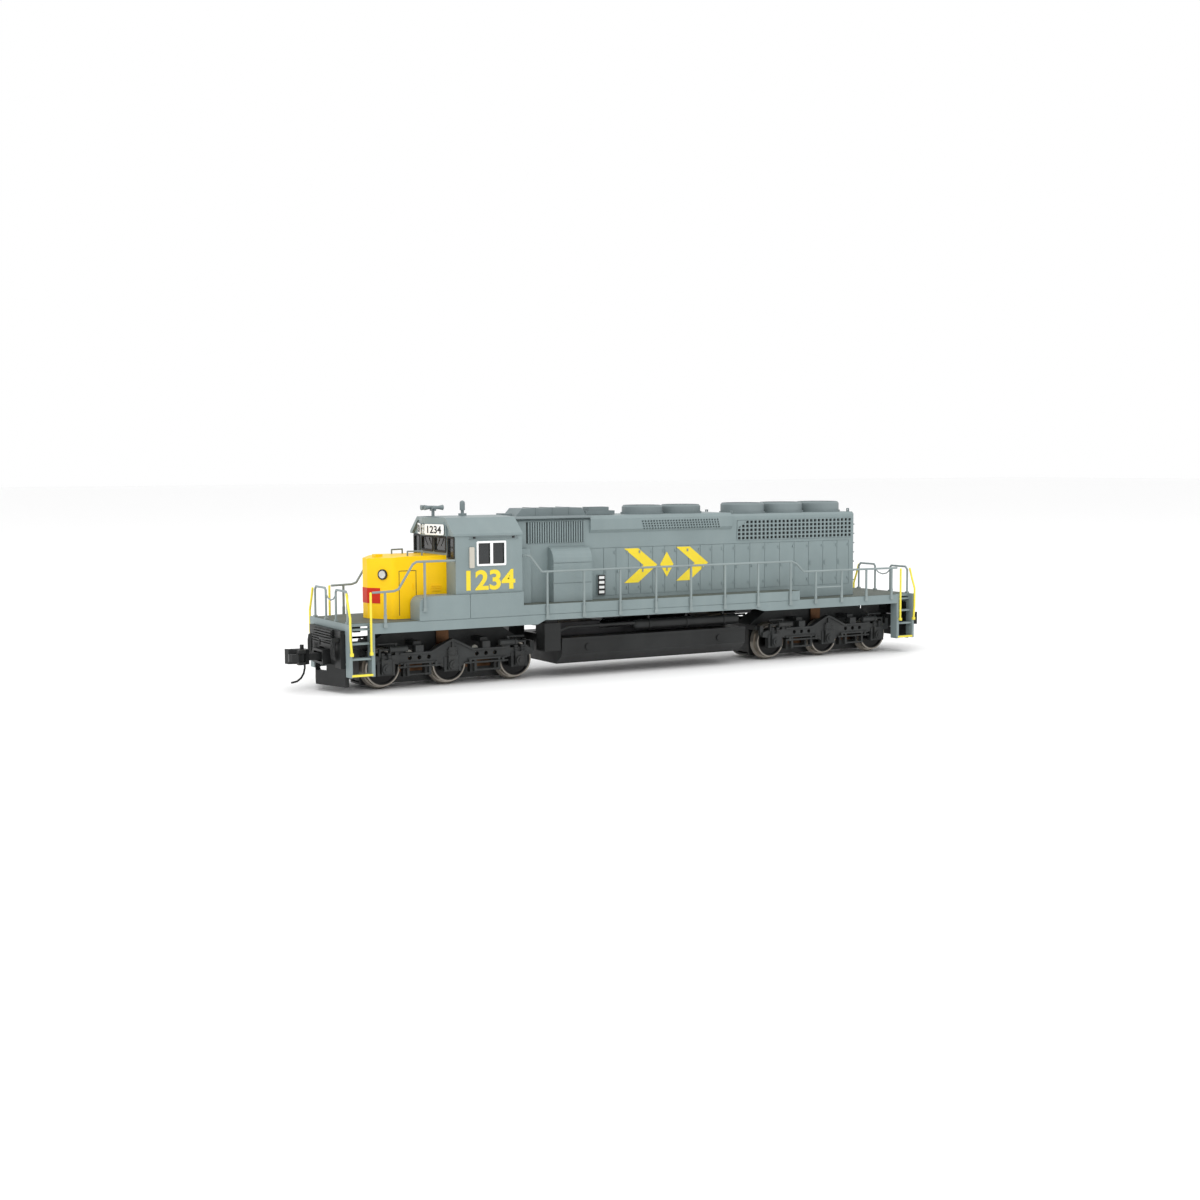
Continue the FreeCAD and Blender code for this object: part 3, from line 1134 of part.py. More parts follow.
def main():
    os.makedirs("parts", exist_ok=True)
    left = chassisFrame()
    save("frame_left", left)
    save("frame_right", [mirrorY(s) for s in left])
    save("frame_screws", frameScrews())
    save("frame_spacers", frameSpacers())
    save("motor_can", motorCan())
    save("brush_caps", brushCaps())
    save("motor_armature", motorArmature())
    save("flywheels", flywheels())
    save("worm_bearings", wormBearings())
    save("light_board", lightBoard())
    save("lamps", lightPipes() + headlights())
    save("fuel_tank", fuelTank())
    save("air_tanks", airTanks())
    save("walkway", walkway())
    save("pilots", pilots())
    for end, tag in ((1, "front"), (-1, "rear")):
        layout = trainLayout(end)
        save("drive_shaft_" + tag, driveShaft(end))
        save("worm_" + tag, worm(end))
        save("worm_wheel_" + tag, wormWheel(layout))
        for side in ("outer", "inner"):
            save("idler_" + tag + "_" + side, idler(layout, side))
        for spot in ("outer", "middle", "inner"):
            save("wheelset_" + tag + "_" + spot, wheelset(layout, spot))
        save("gearbox_" + tag, gearbox(end) + gearboxCover(end))
        save("contact_strips_" + tag, contactStrips(end))
        save("truck_frame_" + tag, truckFrame(end))
        save("coupler_" + tag, [couplerBody(end)])
        save("coupler_spring_" + tag, [couplerSpring(end)])
        save("knuckle_" + tag, [knuckle(end)])
    save("coupler_boxes", [couplerBox(1), couplerBox(-1)])
    save("long_hood", longHood())
    save("grilles", grilles())
    save("brake_hatch", brakeHatch())
    save("roof_fans", roofFans())
    save("roof_hatch", roofHatch())
    save("blower_duct", blowerDuct())
    save("cab", cab())
    save("cab_glazing", cabGlazing())
    save("cab_trim", cabTrim() + numberBoards())
    save("nose", nose())
    save("roof_fittings", roofFittings())
    rails = sideRail()
    save("handrail_left", rails)
    save("handrail_right", [mirrorY(s) for s in rails])
    ends, grips = endRails()
    save("end_rails", ends)
    save("step_grips", grips)
    save("hoses", hoses())


main()
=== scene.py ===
import math
import bmesh
import bpy
from mathutils import Matrix, Vector


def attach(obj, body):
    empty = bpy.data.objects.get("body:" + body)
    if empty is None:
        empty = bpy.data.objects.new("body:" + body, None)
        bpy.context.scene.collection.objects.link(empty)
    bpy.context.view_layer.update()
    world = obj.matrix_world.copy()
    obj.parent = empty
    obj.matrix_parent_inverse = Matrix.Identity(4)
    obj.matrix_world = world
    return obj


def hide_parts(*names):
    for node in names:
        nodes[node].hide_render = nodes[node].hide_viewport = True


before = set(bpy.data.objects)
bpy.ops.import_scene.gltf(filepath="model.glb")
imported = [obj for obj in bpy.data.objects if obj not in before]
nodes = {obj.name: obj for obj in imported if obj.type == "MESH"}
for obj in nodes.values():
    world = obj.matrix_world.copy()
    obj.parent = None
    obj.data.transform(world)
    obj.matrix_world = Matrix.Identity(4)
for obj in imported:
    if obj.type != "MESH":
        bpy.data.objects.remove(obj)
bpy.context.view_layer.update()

mm = 0.001


def spot(x, y, z):
    return Vector((x * mm, y * mm, z * mm))


# camera, floor and lights

camera = {"at": (160.92, 267.21, 38.99), "yaw": 0.5212, "pitch": 0.0835, "roll": -0.0041, "lens": 48.57}


def addCamera(c):
    data = bpy.data.cameras.new("viewCamera")
    data.lens = c["lens"]
    data.sensor_width = 36.0
    data.clip_start = 0.01
    data.clip_end = 20.0
    eye = bpy.data.objects.new("viewCamera", data)
    bpy.context.collection.objects.link(eye)
    look = Vector((-math.sin(c["yaw"]) * math.cos(c["pitch"]),
                   -math.cos(c["yaw"]) * math.cos(c["pitch"]), -math.sin(c["pitch"])))
    across = Vector((-math.cos(c["yaw"]), math.sin(c["yaw"]), 0.0))
    up = across.cross(look)
    right = across * math.cos(c["roll"]) + up * math.sin(c["roll"])
    top = up * math.cos(c["roll"]) - across * math.sin(c["roll"])
    turn = Matrix((right, top, -look)).transposed().to_4x4()
    eye.matrix_world = Matrix.Translation(spot(*c["at"])) @ turn
    bpy.context.scene.camera = eye


addCamera(camera)
print("camera placed")

studio = {"floorSize": 6.0, "floorZ": -0.00005, "floorColour": (0.97, 0.97, 0.97), "sky": (1.0, 1.0, 1.0),
          "skyStrength": 1.0}


def addStudio(s):
    half = s["floorSize"] / 2
    mesh = bpy.data.meshes.new("studioFloor")
    shape = bmesh.new()
    signs = ((-1, -1), (1, -1), (1, 1), (-1, 1))
    corners = [shape.verts.new((x * half, y * half, s["floorZ"])) for x, y in signs]
    shape.faces.new(corners)
    shape.to_mesh(mesh)
    shape.free()
    floor = bpy.data.objects.new("studioFloor", mesh)
    bpy.context.collection.objects.link(floor)
    paper = bpy.data.materials.new("palePaper")
    paper.use_nodes = True
    surface = paper.node_tree.nodes["Principled BSDF"]
    surface.inputs["Base Color"].default_value = (*s["floorColour"], 1.0)
    surface.inputs["Roughness"].default_value = 0.9
    mesh.materials.append(paper)
    world = bpy.data.worlds.new("studioWorld")
    world.use_nodes = True
    back = world.node_tree.nodes["Background"]
    back.inputs[0].default_value = (*s["sky"], 1.0)
    back.inputs[1].default_value = s["skyStrength"]
    bpy.context.scene.world = world
    bpy.context.scene.view_settings.view_transform = "Standard"


def softLight(name, at, size, power, aim=(0, 0, 15)):
    data = bpy.data.lights.new(name, "AREA")
    data.shape = "RECTANGLE"
    data.size = size[0]
    data.size_y = size[1]
    data.energy = power
    lamp = bpy.data.objects.new(name, data)
    bpy.context.collection.objects.link(lamp)
    lamp.location = spot(*at)
    lamp.rotation_euler = (spot(*aim) - spot(*at)).to_track_quat("-Z", "Y").to_euler()


addStudio(studio)
softLight("keyPanel", (160, 330, 420), (0.45, 0.35), 0.8)
softLight("nosePanel", (420, 60, 160), (0.30, 0.30), 0.25)
softLight("tailPanel", (-350, 200, 260), (0.35, 0.30), 0.2)
softLight("topPanel", (0, 0, 600), (0.60, 0.40), 0.3)
print("studio ready")


# every finish is mixed from noise in object space, so it needs no image

def nodeAt(tree, kind, x, y, **settings):
    node = tree.nodes.new(kind)
    node.location = (x, y)
    for key, value in settings.items():
        setattr(node, key, value)
    return node


def noiseAt(tree, coords, x, y, scale, detail=4.0, stretch=(1, 1, 1)):
    fit = nodeAt(tree, "ShaderNodeMapping", x - 200, y)
    fit.inputs["Scale"].default_value = stretch
    tree.links.new(coords, fit.inputs["Vector"])
    noise = nodeAt(tree, "ShaderNodeTexNoise", x, y)
    noise.inputs["Scale"].default_value = scale
    noise.inputs["Detail"].default_value = detail
    tree.links.new(fit.outputs["Vector"], noise.inputs["Vector"])
    return noise.outputs["Fac"]


def finish(name, colour, rough=0.45, metal=0.0, shade=0.06, grainScale=2600.0, grain=0.05, streak=0.0,
           streakColour=(0.7, 0.7, 0.7), cloudScale=160.0, seeThrough=0.0, stretch=(1, 1, 1),
           shine=0.5):
    mat = bpy.data.materials.new(name)
    mat.use_nodes = True
    tree = mat.node_tree
    surface = tree.nodes["Principled BSDF"]
    coords = nodeAt(tree, "ShaderNodeTexCoord", -1400, 0).outputs["Object"]
    cloud = noiseAt(tree, coords, -900, 200, cloudScale, 5.0, stretch)
    ramp = nodeAt(tree, "ShaderNodeValToRGB", -650, 200)
    low = [max(0.0, v * (1 - shade)) for v in colour]
    high = [min(1.0, v * (1 + shade)) for v in colour]
    ramp.color_ramp.elements[0].position = 0.3
    ramp.color_ramp.elements[0].color = (*low, 1)
    ramp.color_ramp.elements[1].position = 0.7
    ramp.color_ramp.elements[1].color = (*high, 1)
    tree.links.new(cloud, ramp.inputs["Fac"])
    colourOut = ramp.outputs["Color"]
    if streak > 0:
        run = noiseAt(tree, coords, -900, -50, 420.0, 6.0, (1.0, 1.0, 0.12))
        edge = nodeAt(tree, "ShaderNodeMapRange", -650, -50)
        edge.inputs["From Min"].default_value = 0.5
        edge.inputs["From Max"].default_value = 0.8
        edge.inputs["To Max"].default_value = streak
        tree.links.new(run, edge.inputs["Value"])
        blend = nodeAt(tree, "ShaderNodeMix", -350, 150, data_type="RGBA")
        tree.links.new(edge.outputs["Result"], blend.inputs["Factor"])
        tree.links.new(colourOut, blend.inputs[6])
        blend.inputs[7].default_value = (*streakColour, 1)
        colourOut = blend.outputs[2]
    tree.links.new(colourOut, surface.inputs["Base Color"])
    speck = noiseAt(tree, coords, -900, -300, grainScale * 0.35, 3.0)
    level = nodeAt(tree, "ShaderNodeMapRange", -650, -300)
    level.inputs["To Min"].default_value = max(0.02, rough - 0.09)
    level.inputs["To Max"].default_value = min(1.0, rough + 0.09)
    tree.links.new(speck, level.inputs["Value"])
    tree.links.new(level.outputs["Result"], surface.inputs["Roughness"])
    peel = noiseAt(tree, coords, -900, -550, grainScale, 2.0, stretch)
    bump = nodeAt(tree, "ShaderNodeBump", -350, -500)
    bump.inputs["Strength"].default_value = grain
    bump.inputs["Distance"].default_value = 0.00005
    tree.links.new(peel, bump.inputs["Height"])
    tree.links.new(bump.outputs["Normal"], surface.inputs["Normal"])
    surface.inputs["Metallic"].default_value = metal
    surface.inputs["Specular IOR Level"].default_value = shine
    surface.inputs["Transmission Weight"].default_value = seeThrough
    return mat


finishes = {
    "bodyGrey": finish("bodyGrey", (0.211, 0.262, 0.266), 0.42, shade=0.05, grain=0.08, streak=0.16,
                       streakColour=(0.30, 0.34, 0.335), shine=0.25),
    "roofGrey": finish("roofGrey", (0.185, 0.222, 0.228), 0.5, shade=0.07, grain=0.1, streak=0.1,
                       streakColour=(0.26, 0.29, 0.29), shine=0.25),
    "noseYellow": finish("noseYellow", (0.93, 0.565, 0.002), 0.4, shade=0.05, grain=0.07, shine=0.22),
    "gripYellow": finish("gripYellow", (0.82, 0.70, 0.07), 0.4, shade=0.07, grain=0.06, shine=0.3),
    "railGrey": finish("railGrey", (0.235, 0.28, 0.28), 0.45, shade=0.08, grain=0.08, shine=0.3),
    "underBlack": finish("underBlack", (0.011, 0.012, 0.012), 0.45, shade=0.35, grain=0.14, streak=0.10,
                         streakColour=(0.04, 0.04, 0.04), shine=0.3),
    "truckGrey": finish("truckGrey", (0.022, 0.024, 0.024), 0.5, shade=0.4, grain=0.3, grainScale=1500.0,
                        streak=0.3, streakColour=(0.06, 0.057, 0.052), shine=0.35),
    "frameMetal": finish("frameMetal", (0.035, 0.035, 0.037), 0.5, metal=0.6, shade=0.3, grain=0.25),
    "brightSteel": finish("brightSteel", (0.55, 0.55, 0.55), 0.3, metal=1.0, shade=0.12, grain=0.1,
                          stretch=(0.2, 1, 1)),
    "turnedBrass": finish("turnedBrass", (0.75, 0.52, 0.2), 0.28, metal=1.0, shade=0.12, grain=0.1,
                          stretch=(4, 1, 1)),
    # the bronze contact strips are darkened far below bright bronze as painted shade, for the gap between
    # trucks and frame where they show
    "bronzeInShade": finish("bronzeInShade", (0.10, 0.052, 0.028), 0.42, metal=1.0, shade=0.18, grain=0.1),
    "gearWhite": finish("gearWhite", (0.78, 0.76, 0.68), 0.35, shade=0.05, grain=0.05),
    "nylonWhite": finish("nylonWhite", (0.85, 0.85, 0.82), 0.35, shade=0.04, grain=0.04),
    "boardGreen": finish("boardGreen", (0.012, 0.11, 0.04), 0.3, shade=0.25, grain=0.08),
    "smokeGlass": finish("smokeGlass", (0.03, 0.034, 0.036), 0.09, shade=0.3, grain=0.02, seeThrough=0.25),
    "clearLamp": finish("clearLamp", (0.9, 0.92, 0.9), 0.12, shade=0.04, grain=0.02, seeThrough=0.5),
    "trimWhite": finish("trimWhite", (0.86, 0.87, 0.86), 0.4, shade=0.03, grain=0.05),
    "armatureIron": finish("armatureIron", (0.25, 0.17, 0.1), 0.45, metal=0.7, shade=0.3, grain=0.3),
    "gasketBlack": finish("gasketBlack", (0.01, 0.01, 0.011), 0.6, shade=0.3, grain=0.12),
    "shadeBeige": finish("shadeBeige", (0.52, 0.49, 0.42), 0.45, shade=0.06, grain=0.08),
    "panelRed": finish("panelRed", (0.56, 0.022, 0.004), 0.4, shade=0.07, grain=0.06, shine=0.2),
    "numeralBlack": finish("numeralBlack", (0.015, 0.015, 0.016), 0.5, shade=0.2, grain=0.05),
    "deckGrey": finish("deckGrey", (0.115, 0.13, 0.112), 0.7, shade=0.12, grain=0.5, grainScale=1900.0,
                       streak=0.2, streakColour=(0.07, 0.075, 0.07), shine=0.2),
    "fleetYellow": finish("fleetYellow", (0.80, 0.62, 0.02), 0.42, shade=0.05, grain=0.05),
}

nodeFinish = {
    "bodyGrey": "walkway long_hood grilles brake_hatch blower_duct cab",
    "roofGrey": "roof_fans roof_hatch roof_fittings",
    "noseYellow": "nose",
    "gripYellow": "step_grips",
    "railGrey": "handrail_left handrail_right end_rails",
    "underBlack": "fuel_tank air_tanks pilots hoses coupler_boxes coupler_front coupler_rear knuckle_front "
                  "knuckle_rear",
    "truckGrey": "truck_frame_front truck_frame_rear gearbox_front gearbox_rear",
    "frameMetal": "frame_left frame_right",
    "brightSteel": "frame_screws motor_can coupler_spring_front coupler_spring_rear",
    "turnedBrass": "brush_caps worm_bearings flywheels worm_front worm_rear",
    "bronzeInShade": "contact_strips_front contact_strips_rear",
    "gearWhite": "drive_shaft_front drive_shaft_rear worm_wheel_front worm_wheel_rear idler_front_outer "
                 "idler_front_inner idler_rear_outer idler_rear_inner",
    "nylonWhite": "frame_spacers",
    "boardGreen": "light_board",
    "smokeGlass": "cab_glazing",
    "clearLamp": "lamps",
    "trimWhite": "cab_trim",
    "armatureIron": "motor_armature",
}

for finishName, names in nodeFinish.items():
    for name in names.split():
        for holder in nodes[name].material_slots:
            holder.material = finishes[finishName]

wheels = {"tread": (0.30, 0.275, 0.24), "face": (0.016, 0.016, 0.016, 1.0), "faceRadius": 2.95,
          "axleZ": 3.775, "truckX": 41.72, "outer": 12.66, "middle": 0.0, "inner": -13.22}


def wheelFinish(name, axleX, w):
    mat = finish(name, w["tread"], 0.32, metal=0.9, shade=0.25, grain=0.12, grainScale=3200.0)
    tree = mat.node_tree
    surface = tree.nodes["Principled BSDF"]
    coords = nodeAt(tree, "ShaderNodeTexCoord", -1800, 600).outputs["Object"]
    flat = nodeAt(tree, "ShaderNodeVectorMath", -1600, 600, operation="MULTIPLY_ADD")
    flat.inputs[1].default_value = (1, 0, 1)
    flat.inputs[2].default_value = (-axleX * mm, 0, -w["axleZ"] * mm)
    tree.links.new(coords, flat.inputs[0])
    reach = nodeAt(tree, "ShaderNodeVectorMath", -1400, 600, operation="LENGTH")
    tree.links.new(flat.outputs["Vector"], reach.inputs[0])
    rim = nodeAt(tree, "ShaderNodeMapRange", -1200, 600)
    rim.inputs["From Min"].default_value = (w["faceRadius"] - 0.1) * mm
    rim.inputs["From Max"].default_value = (w["faceRadius"] + 0.1) * mm
    tree.links.new(reach.outputs["Value"], rim.inputs["Value"])
    tread = surface.inputs["Base Color"].links[0].from_socket
    blend = nodeAt(tree, "ShaderNodeMix", -350, 450, data_type="RGBA")
    tree.links.new(rim.outputs["Result"], blend.inputs["Factor"])
    blend.inputs[6].default_value = w["face"]
    tree.links.new(tread, blend.inputs[7])
    tree.links.new(blend.outputs[2], surface.inputs["Base Color"])
    return mat


for end, way in (("front", 1), ("rear", -1)):
    for place in ("outer", "middle", "inner"):
        axleX = way * (wheels["truckX"] + wheels[place])
        paint = wheelFinish("wheel_" + end + "_" + place, axleX, wheels)
        for holder in nodes["wheelset_" + end + "_" + place].material_slots:
            holder.material = paint
print("finishes mixed")


# small pieces made in mesh code

def keep(name, shape, finishName, body="chassis", bevel=0.0, smooth=False):
    mesh = bpy.data.meshes.new(name)
    bmesh.ops.recalc_face_normals(shape, faces=shape.faces[:])
    shape.to_mesh(mesh)
    shape.free()
    mesh.materials.append(finishes[finishName])
    for face in mesh.polygons:
        face.use_smooth = smooth
    piece = bpy.data.objects.new(name, mesh)
    bpy.context.collection.objects.link(piece)
    if bevel > 0:
        edge = piece.modifiers.new("softEdge", "BEVEL")
        edge.width = bevel * mm
        edge.segments = 2
        edge.limit_method = "ANGLE"
    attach(piece, body)
    return piece


def addPrism(shape, outline, offset):
    low = [shape.verts.new(p) for p in outline]
    high = [shape.verts.new(p + offset) for p in outline]
    shape.faces.new(low)
    shape.faces.new(list(reversed(high)))
    count = len(outline)
    for i in range(count):
        shape.faces.new((low[i], high[i], high[(i + 1) % count], low[(i + 1) % count]))


def addBlock(shape, low, high):
    outline = [spot(low[0], low[1], low[2]), spot(high[0], low[1], low[2]),
               spot(high[0], high[1], low[2]), spot(low[0], high[1], low[2])]
    addPrism(shape, outline, spot(0, 0, high[2] - low[2]))


def addRing(shape, outer, inner, offset):
    count = len(outer)
    rows = [[shape.verts.new(p) for p in outer], [shape.verts.new(p + offset) for p in outer],
            [shape.verts.new(p + offset) for p in inner], [shape.verts.new(p) for p in inner]]
    for a in range(4):
        b = (a + 1) % 4
        for i in range(count):
            j = (i + 1) % count
            shape.faces.new((rows[a][i], rows[a][j], rows[b][j], rows[b][i]))


def roundedOutline(x0, x1, z0, z1, radius, steps=4):
    points = []
    for cx, cz, start in ((x1 - radius, z1 - radius, 0), (x0 + radius, z1 - radius, 90),
                          (x0 + radius, z0 + radius, 180), (x1 - radius, z0 + radius, 270)):
        for k in range(steps + 1):
            a = math.radians(start + 90 * k / steps)
            points.append((cx + radius * math.cos(a), cz + radius * math.sin(a)))
    return points


sideY = 9.2
frontX = 41.9

cabWindow = {"x": (32.05, 37.85), "z": (21.2, 25.6), "rim": 0.36, "post": (34.65, 35.2), "proud": 0.15}


def windowFrames(w):
    shape = bmesh.new()
    for side in (-1, 1):
        outer = roundedOutline(*w["x"], *w["z"], 0.25)
        inner = roundedOutline(w["x"][0] + w["rim"], w["x"][1] - w["rim"], w["z"][0] + w["rim"],
                               w["z"][1] - w["rim"], 0.12)
        y = side * (sideY + 0.01)
        addRing(shape, [spot(x, y, z) for x, z in outer], [spot(x, y, z) for x, z in inner],
                spot(0, side * w["proud"], 0))
        ys = sorted((y, y + side * w["proud"] * 0.9))
        addBlock(shape, (w["post"][0], ys[0], w["z"][0] + 0.2), (w["post"][1], ys[1], w["z"][1] - 0.2))
    return keep("window_frames", shape, "trimWhite", bevel=0.03)


deflectors = {"x": (38.35, 39.3), "z": (20.9, 24.6), "thick": 0.3, "trackZ": (25.95, 26.4),
              "trackX": (29.6, 39.3), "stopX": (38.3, 30.6), "stopZ": (26.07, 26.4), "stopHalf": 0.2}


def windDeflectors(d):
    shape = bmesh.new()
    for side in (-1, 1):
        outline = [spot(x, side * (sideY + 0.01), z) for x, z in roundedOutline(*d["x"], *d["z"], 0.2)]
        addPrism(shape, outline, spot(0, side * d["thick"], 0))
    return keep("wind_deflectors", shape, "shadeBeige", bevel=0.04)


def shadeTracks(d):
    shape = bmesh.new()
    for side in (-1, 1):
        for z in d["trackZ"]:
            ys = sorted((side * (sideY + 0.01), side * (sideY + 0.2)))
            addBlock(shape, (d["trackX"][0], ys[0], z), (d["trackX"][1], ys[1], z + 0.12))
    return keep("shade_tracks", shape, "roofGrey", bevel=0.03)


def trackStops(d):
    shape = bmesh.new()
    for side in (-1, 1):
        ys = sorted((side * (sideY + 0.01), side * (sideY + 0.28)))
        for x in d["stopX"]:
            addBlock(shape, (x - d["stopHalf"], ys[0], d["stopZ"][0]),
                     (x + d["stopHalf"], ys[1], d["stopZ"][1]))
    return keep("track_stops", shape, "gasketBlack", bevel=0.05)


windscreen = {"panes": (((0.2, 5.45), (23.5, 26.45)), ((5.95, 8.9), (22.5, 26.5))), "rim": 0.38,
              "proud": 0.15}


def windscreenGaskets(w):
    shape = bmesh.new()
    rim = w["rim"]
    for side in (-1, 1):
        for ySpan, zSpan in w["panes"]:
            outer = roundedOutline(*ySpan, *zSpan, 0.4)
            inner = roundedOutline(ySpan[0] + rim, ySpan[1] - rim, zSpan[0] + rim, zSpan[1] - rim, 0.25)
            addRing(shape, [spot(frontX + 0.01, side * y, z) for y, z in outer],
                    [spot(frontX + 0.01, side * y, z) for y, z in inner], spot(w["proud"], 0, 0))
    return keep("windscreen_gaskets", shape, "gasketBlack", bevel=0.03)


def rodCurve(name, runs, radius, finishName, body="chassis"):
    line = bpy.data.curves.new(name, "CURVE")
    line.dimensions = "3D"
    line.bevel_depth = radius * mm
    line.bevel_resolution = 3
    line.use_fill_caps = True
    for run in runs:
        spline = line.splines.new("POLY")
        spline.points.add(len(run) - 1)
        for i, p in enumerate(run):
            spline.points[i].co = (*spot(*p), 1.0)
    line.materials.append(finishes[finishName])
    piece = bpy.data.objects.new(name, line)
    bpy.context.collection.objects.link(piece)
    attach(piece, body)
    return piece


wiper = {"arm": ((0.3, 3.6, 26.7), (0.28, 2.6, 25.1)), "blade": ((0.28, 3.2, 25.7), (0.28, 2.0, 24.6)),
         "radius": 0.07}


def wipers(w):
    runs = []
    for side in (-1, 1):
        for part in ("arm", "blade"):
            runs.append([(frontX + dx, side * y, z) for dx, y, z in w[part]])
    return rodCurve("wipers", runs, w["radius"], "gasketBlack")


boardSpot = {"start": (frontX + 1.96, 0.82), "run": (-1.7, 5.25), "length": 5.08, "z": (26.65, 28.55),
             "digits": (0.15, 0.87), "digitsZ": 26.92, "digitSize": (3.66, 1.35)}


def boardAxes(b, side):
    run = Vector((b["run"][0], b["run"][1] * side, 0)).normalized()
    out = Vector((run.y, -run.x, 0)) * side
    start = Vector((b["start"][0], b["start"][1] * side, 0))
    return start, run, out


def numberPanels(b):
    shape = bmesh.new()
    for side in (-1, 1):
        start, run, out = boardAxes(b, side)
        outline = []
        for s, z in roundedOutline(0, b["length"], *b["z"], 0.3):
            p = start + run * s + out * 0.19
            outline.append(spot(p.x, p.y, z))
        addPrism(shape, outline, (out * 0.08) * mm)
    return keep("number_panels", shape, "trimWhite", bevel=0.02)


def numerals(name, text, height, width, placeAt, finishName, thick=0.05, bold=0.02):
    parts = []
    for origin, along, up in placeAt:
        data = bpy.data.curves.new(name, "FONT")
        data.body = text
        data.size = 1.0
        data.offset = bold
        data.extrude = 0.5
        data.align_x = "LEFT"
        source = bpy.data.objects.new(name + "Source", data)
        bpy.context.collection.objects.link(source)
        bpy.context.view_layer.update()
        flat = bpy.data.meshes.new_from_object(source)
        bpy.data.objects.remove(source)
        xs = [v.co.x for v in flat.vertices]
        ys = [v.co.y for v in flat.vertices]
        outward = along.cross(up)
        for v in flat.vertices:
            s = (v.co.x - min(xs)) / (max(xs) - min(xs)) * width
            t = (v.co.y - min(ys)) / (max(ys) - min(ys)) * height
            v.co = (origin + along * s + up * t + outward * (v.co.z + 0.5) * thick) * mm
        parts.append(flat)
    shape = bmesh.new()
    for flat in parts:
        shape.from_mesh(flat)
    return keep(name, shape, finishName)


trimStand = windowFrames(cabWindow)
windDeflectors(deflectors)
shadeTracks(deflectors)
trackStops(deflectors)
windscreenGaskets(windscreen)
wipers(wiper)
numberPanels(boardSpot)
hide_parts("cab_trim")

upward = Vector((0, 0, 1))
boardPlaces = []
for side in (-1, 1):
    start, run, out = boardAxes(boardSpot, side)
    share = boardSpot["digits"][0 if side > 0 else 1]
    origin = start + run * boardSpot["length"] * share + out * 0.275 + upward * boardSpot["digitsZ"]
    along = run * side
    boardPlaces.append((origin, along, upward))
digitWidth, digitHeight = boardSpot["digitSize"]
numerals("board_numerals", "1234", digitHeight, digitWidth, boardPlaces, "numeralBlack", 0.03)

sideNumber = {"frontX": 39.9, "z": 16.9, "width": 9.65, "height": 3.6}
leftStart = Vector((sideNumber["frontX"], sideY + 0.01, sideNumber["z"]))
rightStart = Vector((sideNumber["frontX"] - sideNumber["width"], -sideY - 0.01, sideNumber["z"]))
sidePlaces = [(leftStart, Vector((-1, 0, 0)), upward), (rightStart, Vector((1, 0, 0)), upward)]
numerals("cab_numerals", "1234", sideNumber["height"], sideNumber["width"], sidePlaces, "fleetYellow",
         0.04, 0.03)
print("cab trim made")


# plain marks on the hood side and nose, deck plates, step edges, and dark plates of painted shadow behind
# the openings

hoodMark = {"y": 5.56, "thick": 0.04, "low": 16.7, "high": 23.2,
            "chevrons": ((5.4, -1.9), (-6.2, -13.5)), "diamond": (-4.05, 1.5, 2.4)}


def hoodMarks(m):
    shape = bmesh.new()
    for side in (-1, 1):
        y = side * m["y"]
        push = spot(0, side * m["thick"], 0)
        middle = (m["low"] + m["high"]) / 2
        for x0, x1 in m["chevrons"]:
            bar = (x0 - x1) * 0.42
            points = [(x0, m["high"]), (x0 - bar, m["high"]), (x1, middle), (x0 - bar, m["low"]),
                      (x0, m["low"]), (x1 + bar, middle)]
            addPrism(shape, [spot(x, y, z) for x, z in points], push)
        cx, halfWide, halfTall = m["diamond"]
        points = [(cx, middle + halfTall), (cx - halfWide, middle), (cx, middle - halfTall),
                  (cx + halfWide, middle)]
        addPrism(shape, [spot(x, y, z) for x, z in points], push)
    return keep("hood_marks", shape, "fleetYellow")


noseFront = {"frontX": 55.2, "flatY": 1.08, "cornerX": 52.1, "cornerY": 5.4, "panelShare": 0.49,
             "panelZ": (14.9, 17.6), "lampShare": 0.61, "lampZ": 20.0, "ringRadius": (0.92, 0.68)}


def nosePoint(n, share, side):
    return Vector((n["frontX"] + (n["cornerX"] - n["frontX"]) * share,
                   side * (n["flatY"] + (n["cornerY"] - n["flatY"]) * share), 0))


def nosePanel(n):
    shape = bmesh.new()
    front = [nosePoint(n, n["panelShare"], 1), nosePoint(n, 0, 1), nosePoint(n, 0, -1),
             nosePoint(n, n["panelShare"], -1)]
    low, high = n["panelZ"]
    for a, b in zip(front[:-1], front[1:]):
        way = (b - a).normalized()
        normal = Vector((-way.y, way.x, 0))
        a = a - normal * 0.02
        b = b - normal * 0.02
        outline = [spot(a.x, a.y, low), spot(b.x, b.y, low), spot(b.x, b.y, high), spot(a.x, a.y, high)]
        addPrism(shape, outline, normal * 0.08 * mm)
    return keep("nose_panel", shape, "panelRed")


def lampRings(n):
    shape = bmesh.new()
    wide, narrow = n["ringRadius"]
    for side in (-1, 1):
        centre = nosePoint(n, n["lampShare"], side) + upward * n["lampZ"]
        across = (nosePoint(n, 1, side) - nosePoint(n, 0, side)).normalized()
        out = Vector((abs(across.y), side * abs(across.x), 0))
        outer = []
        inner = []
        for k in range(32):
            t = 2 * math.pi * k / 32
            ray = across * math.cos(t) + upward * math.sin(t)
            outer.append((centre + out * 0.01 + ray * wide) * mm)
            inner.append((centre + out * 0.01 + ray * narrow) * mm)
        addRing(shape, outer, inner, out * 0.32 * mm)
    return keep("lamp_rings", shape, "gasketBlack", bevel=0.03)


stepEdge = {"x": (57.4, 62.0), "y": 9.7, "z": 3.1, "thick": 0.36}


def stepEdges(s):
    shape = bmesh.new()
    for sx in (-1, 1):
        for sy in (-1, 1):
            xs = sorted((sx * s["x"][0], sx * s["x"][1]))
            ys = sorted((sy * (s["y"] - 0.35), sy * (s["y"] + 0.04)))
            low, high = s["z"] + 0.02, s["z"] + s["thick"] + 0.03
            addBlock(shape, (xs[0] + 0.38, ys[0], low), (xs[1] - 0.38, ys[1], high))
    return keep("step_edges", shape, "gripYellow", bevel=0.04)


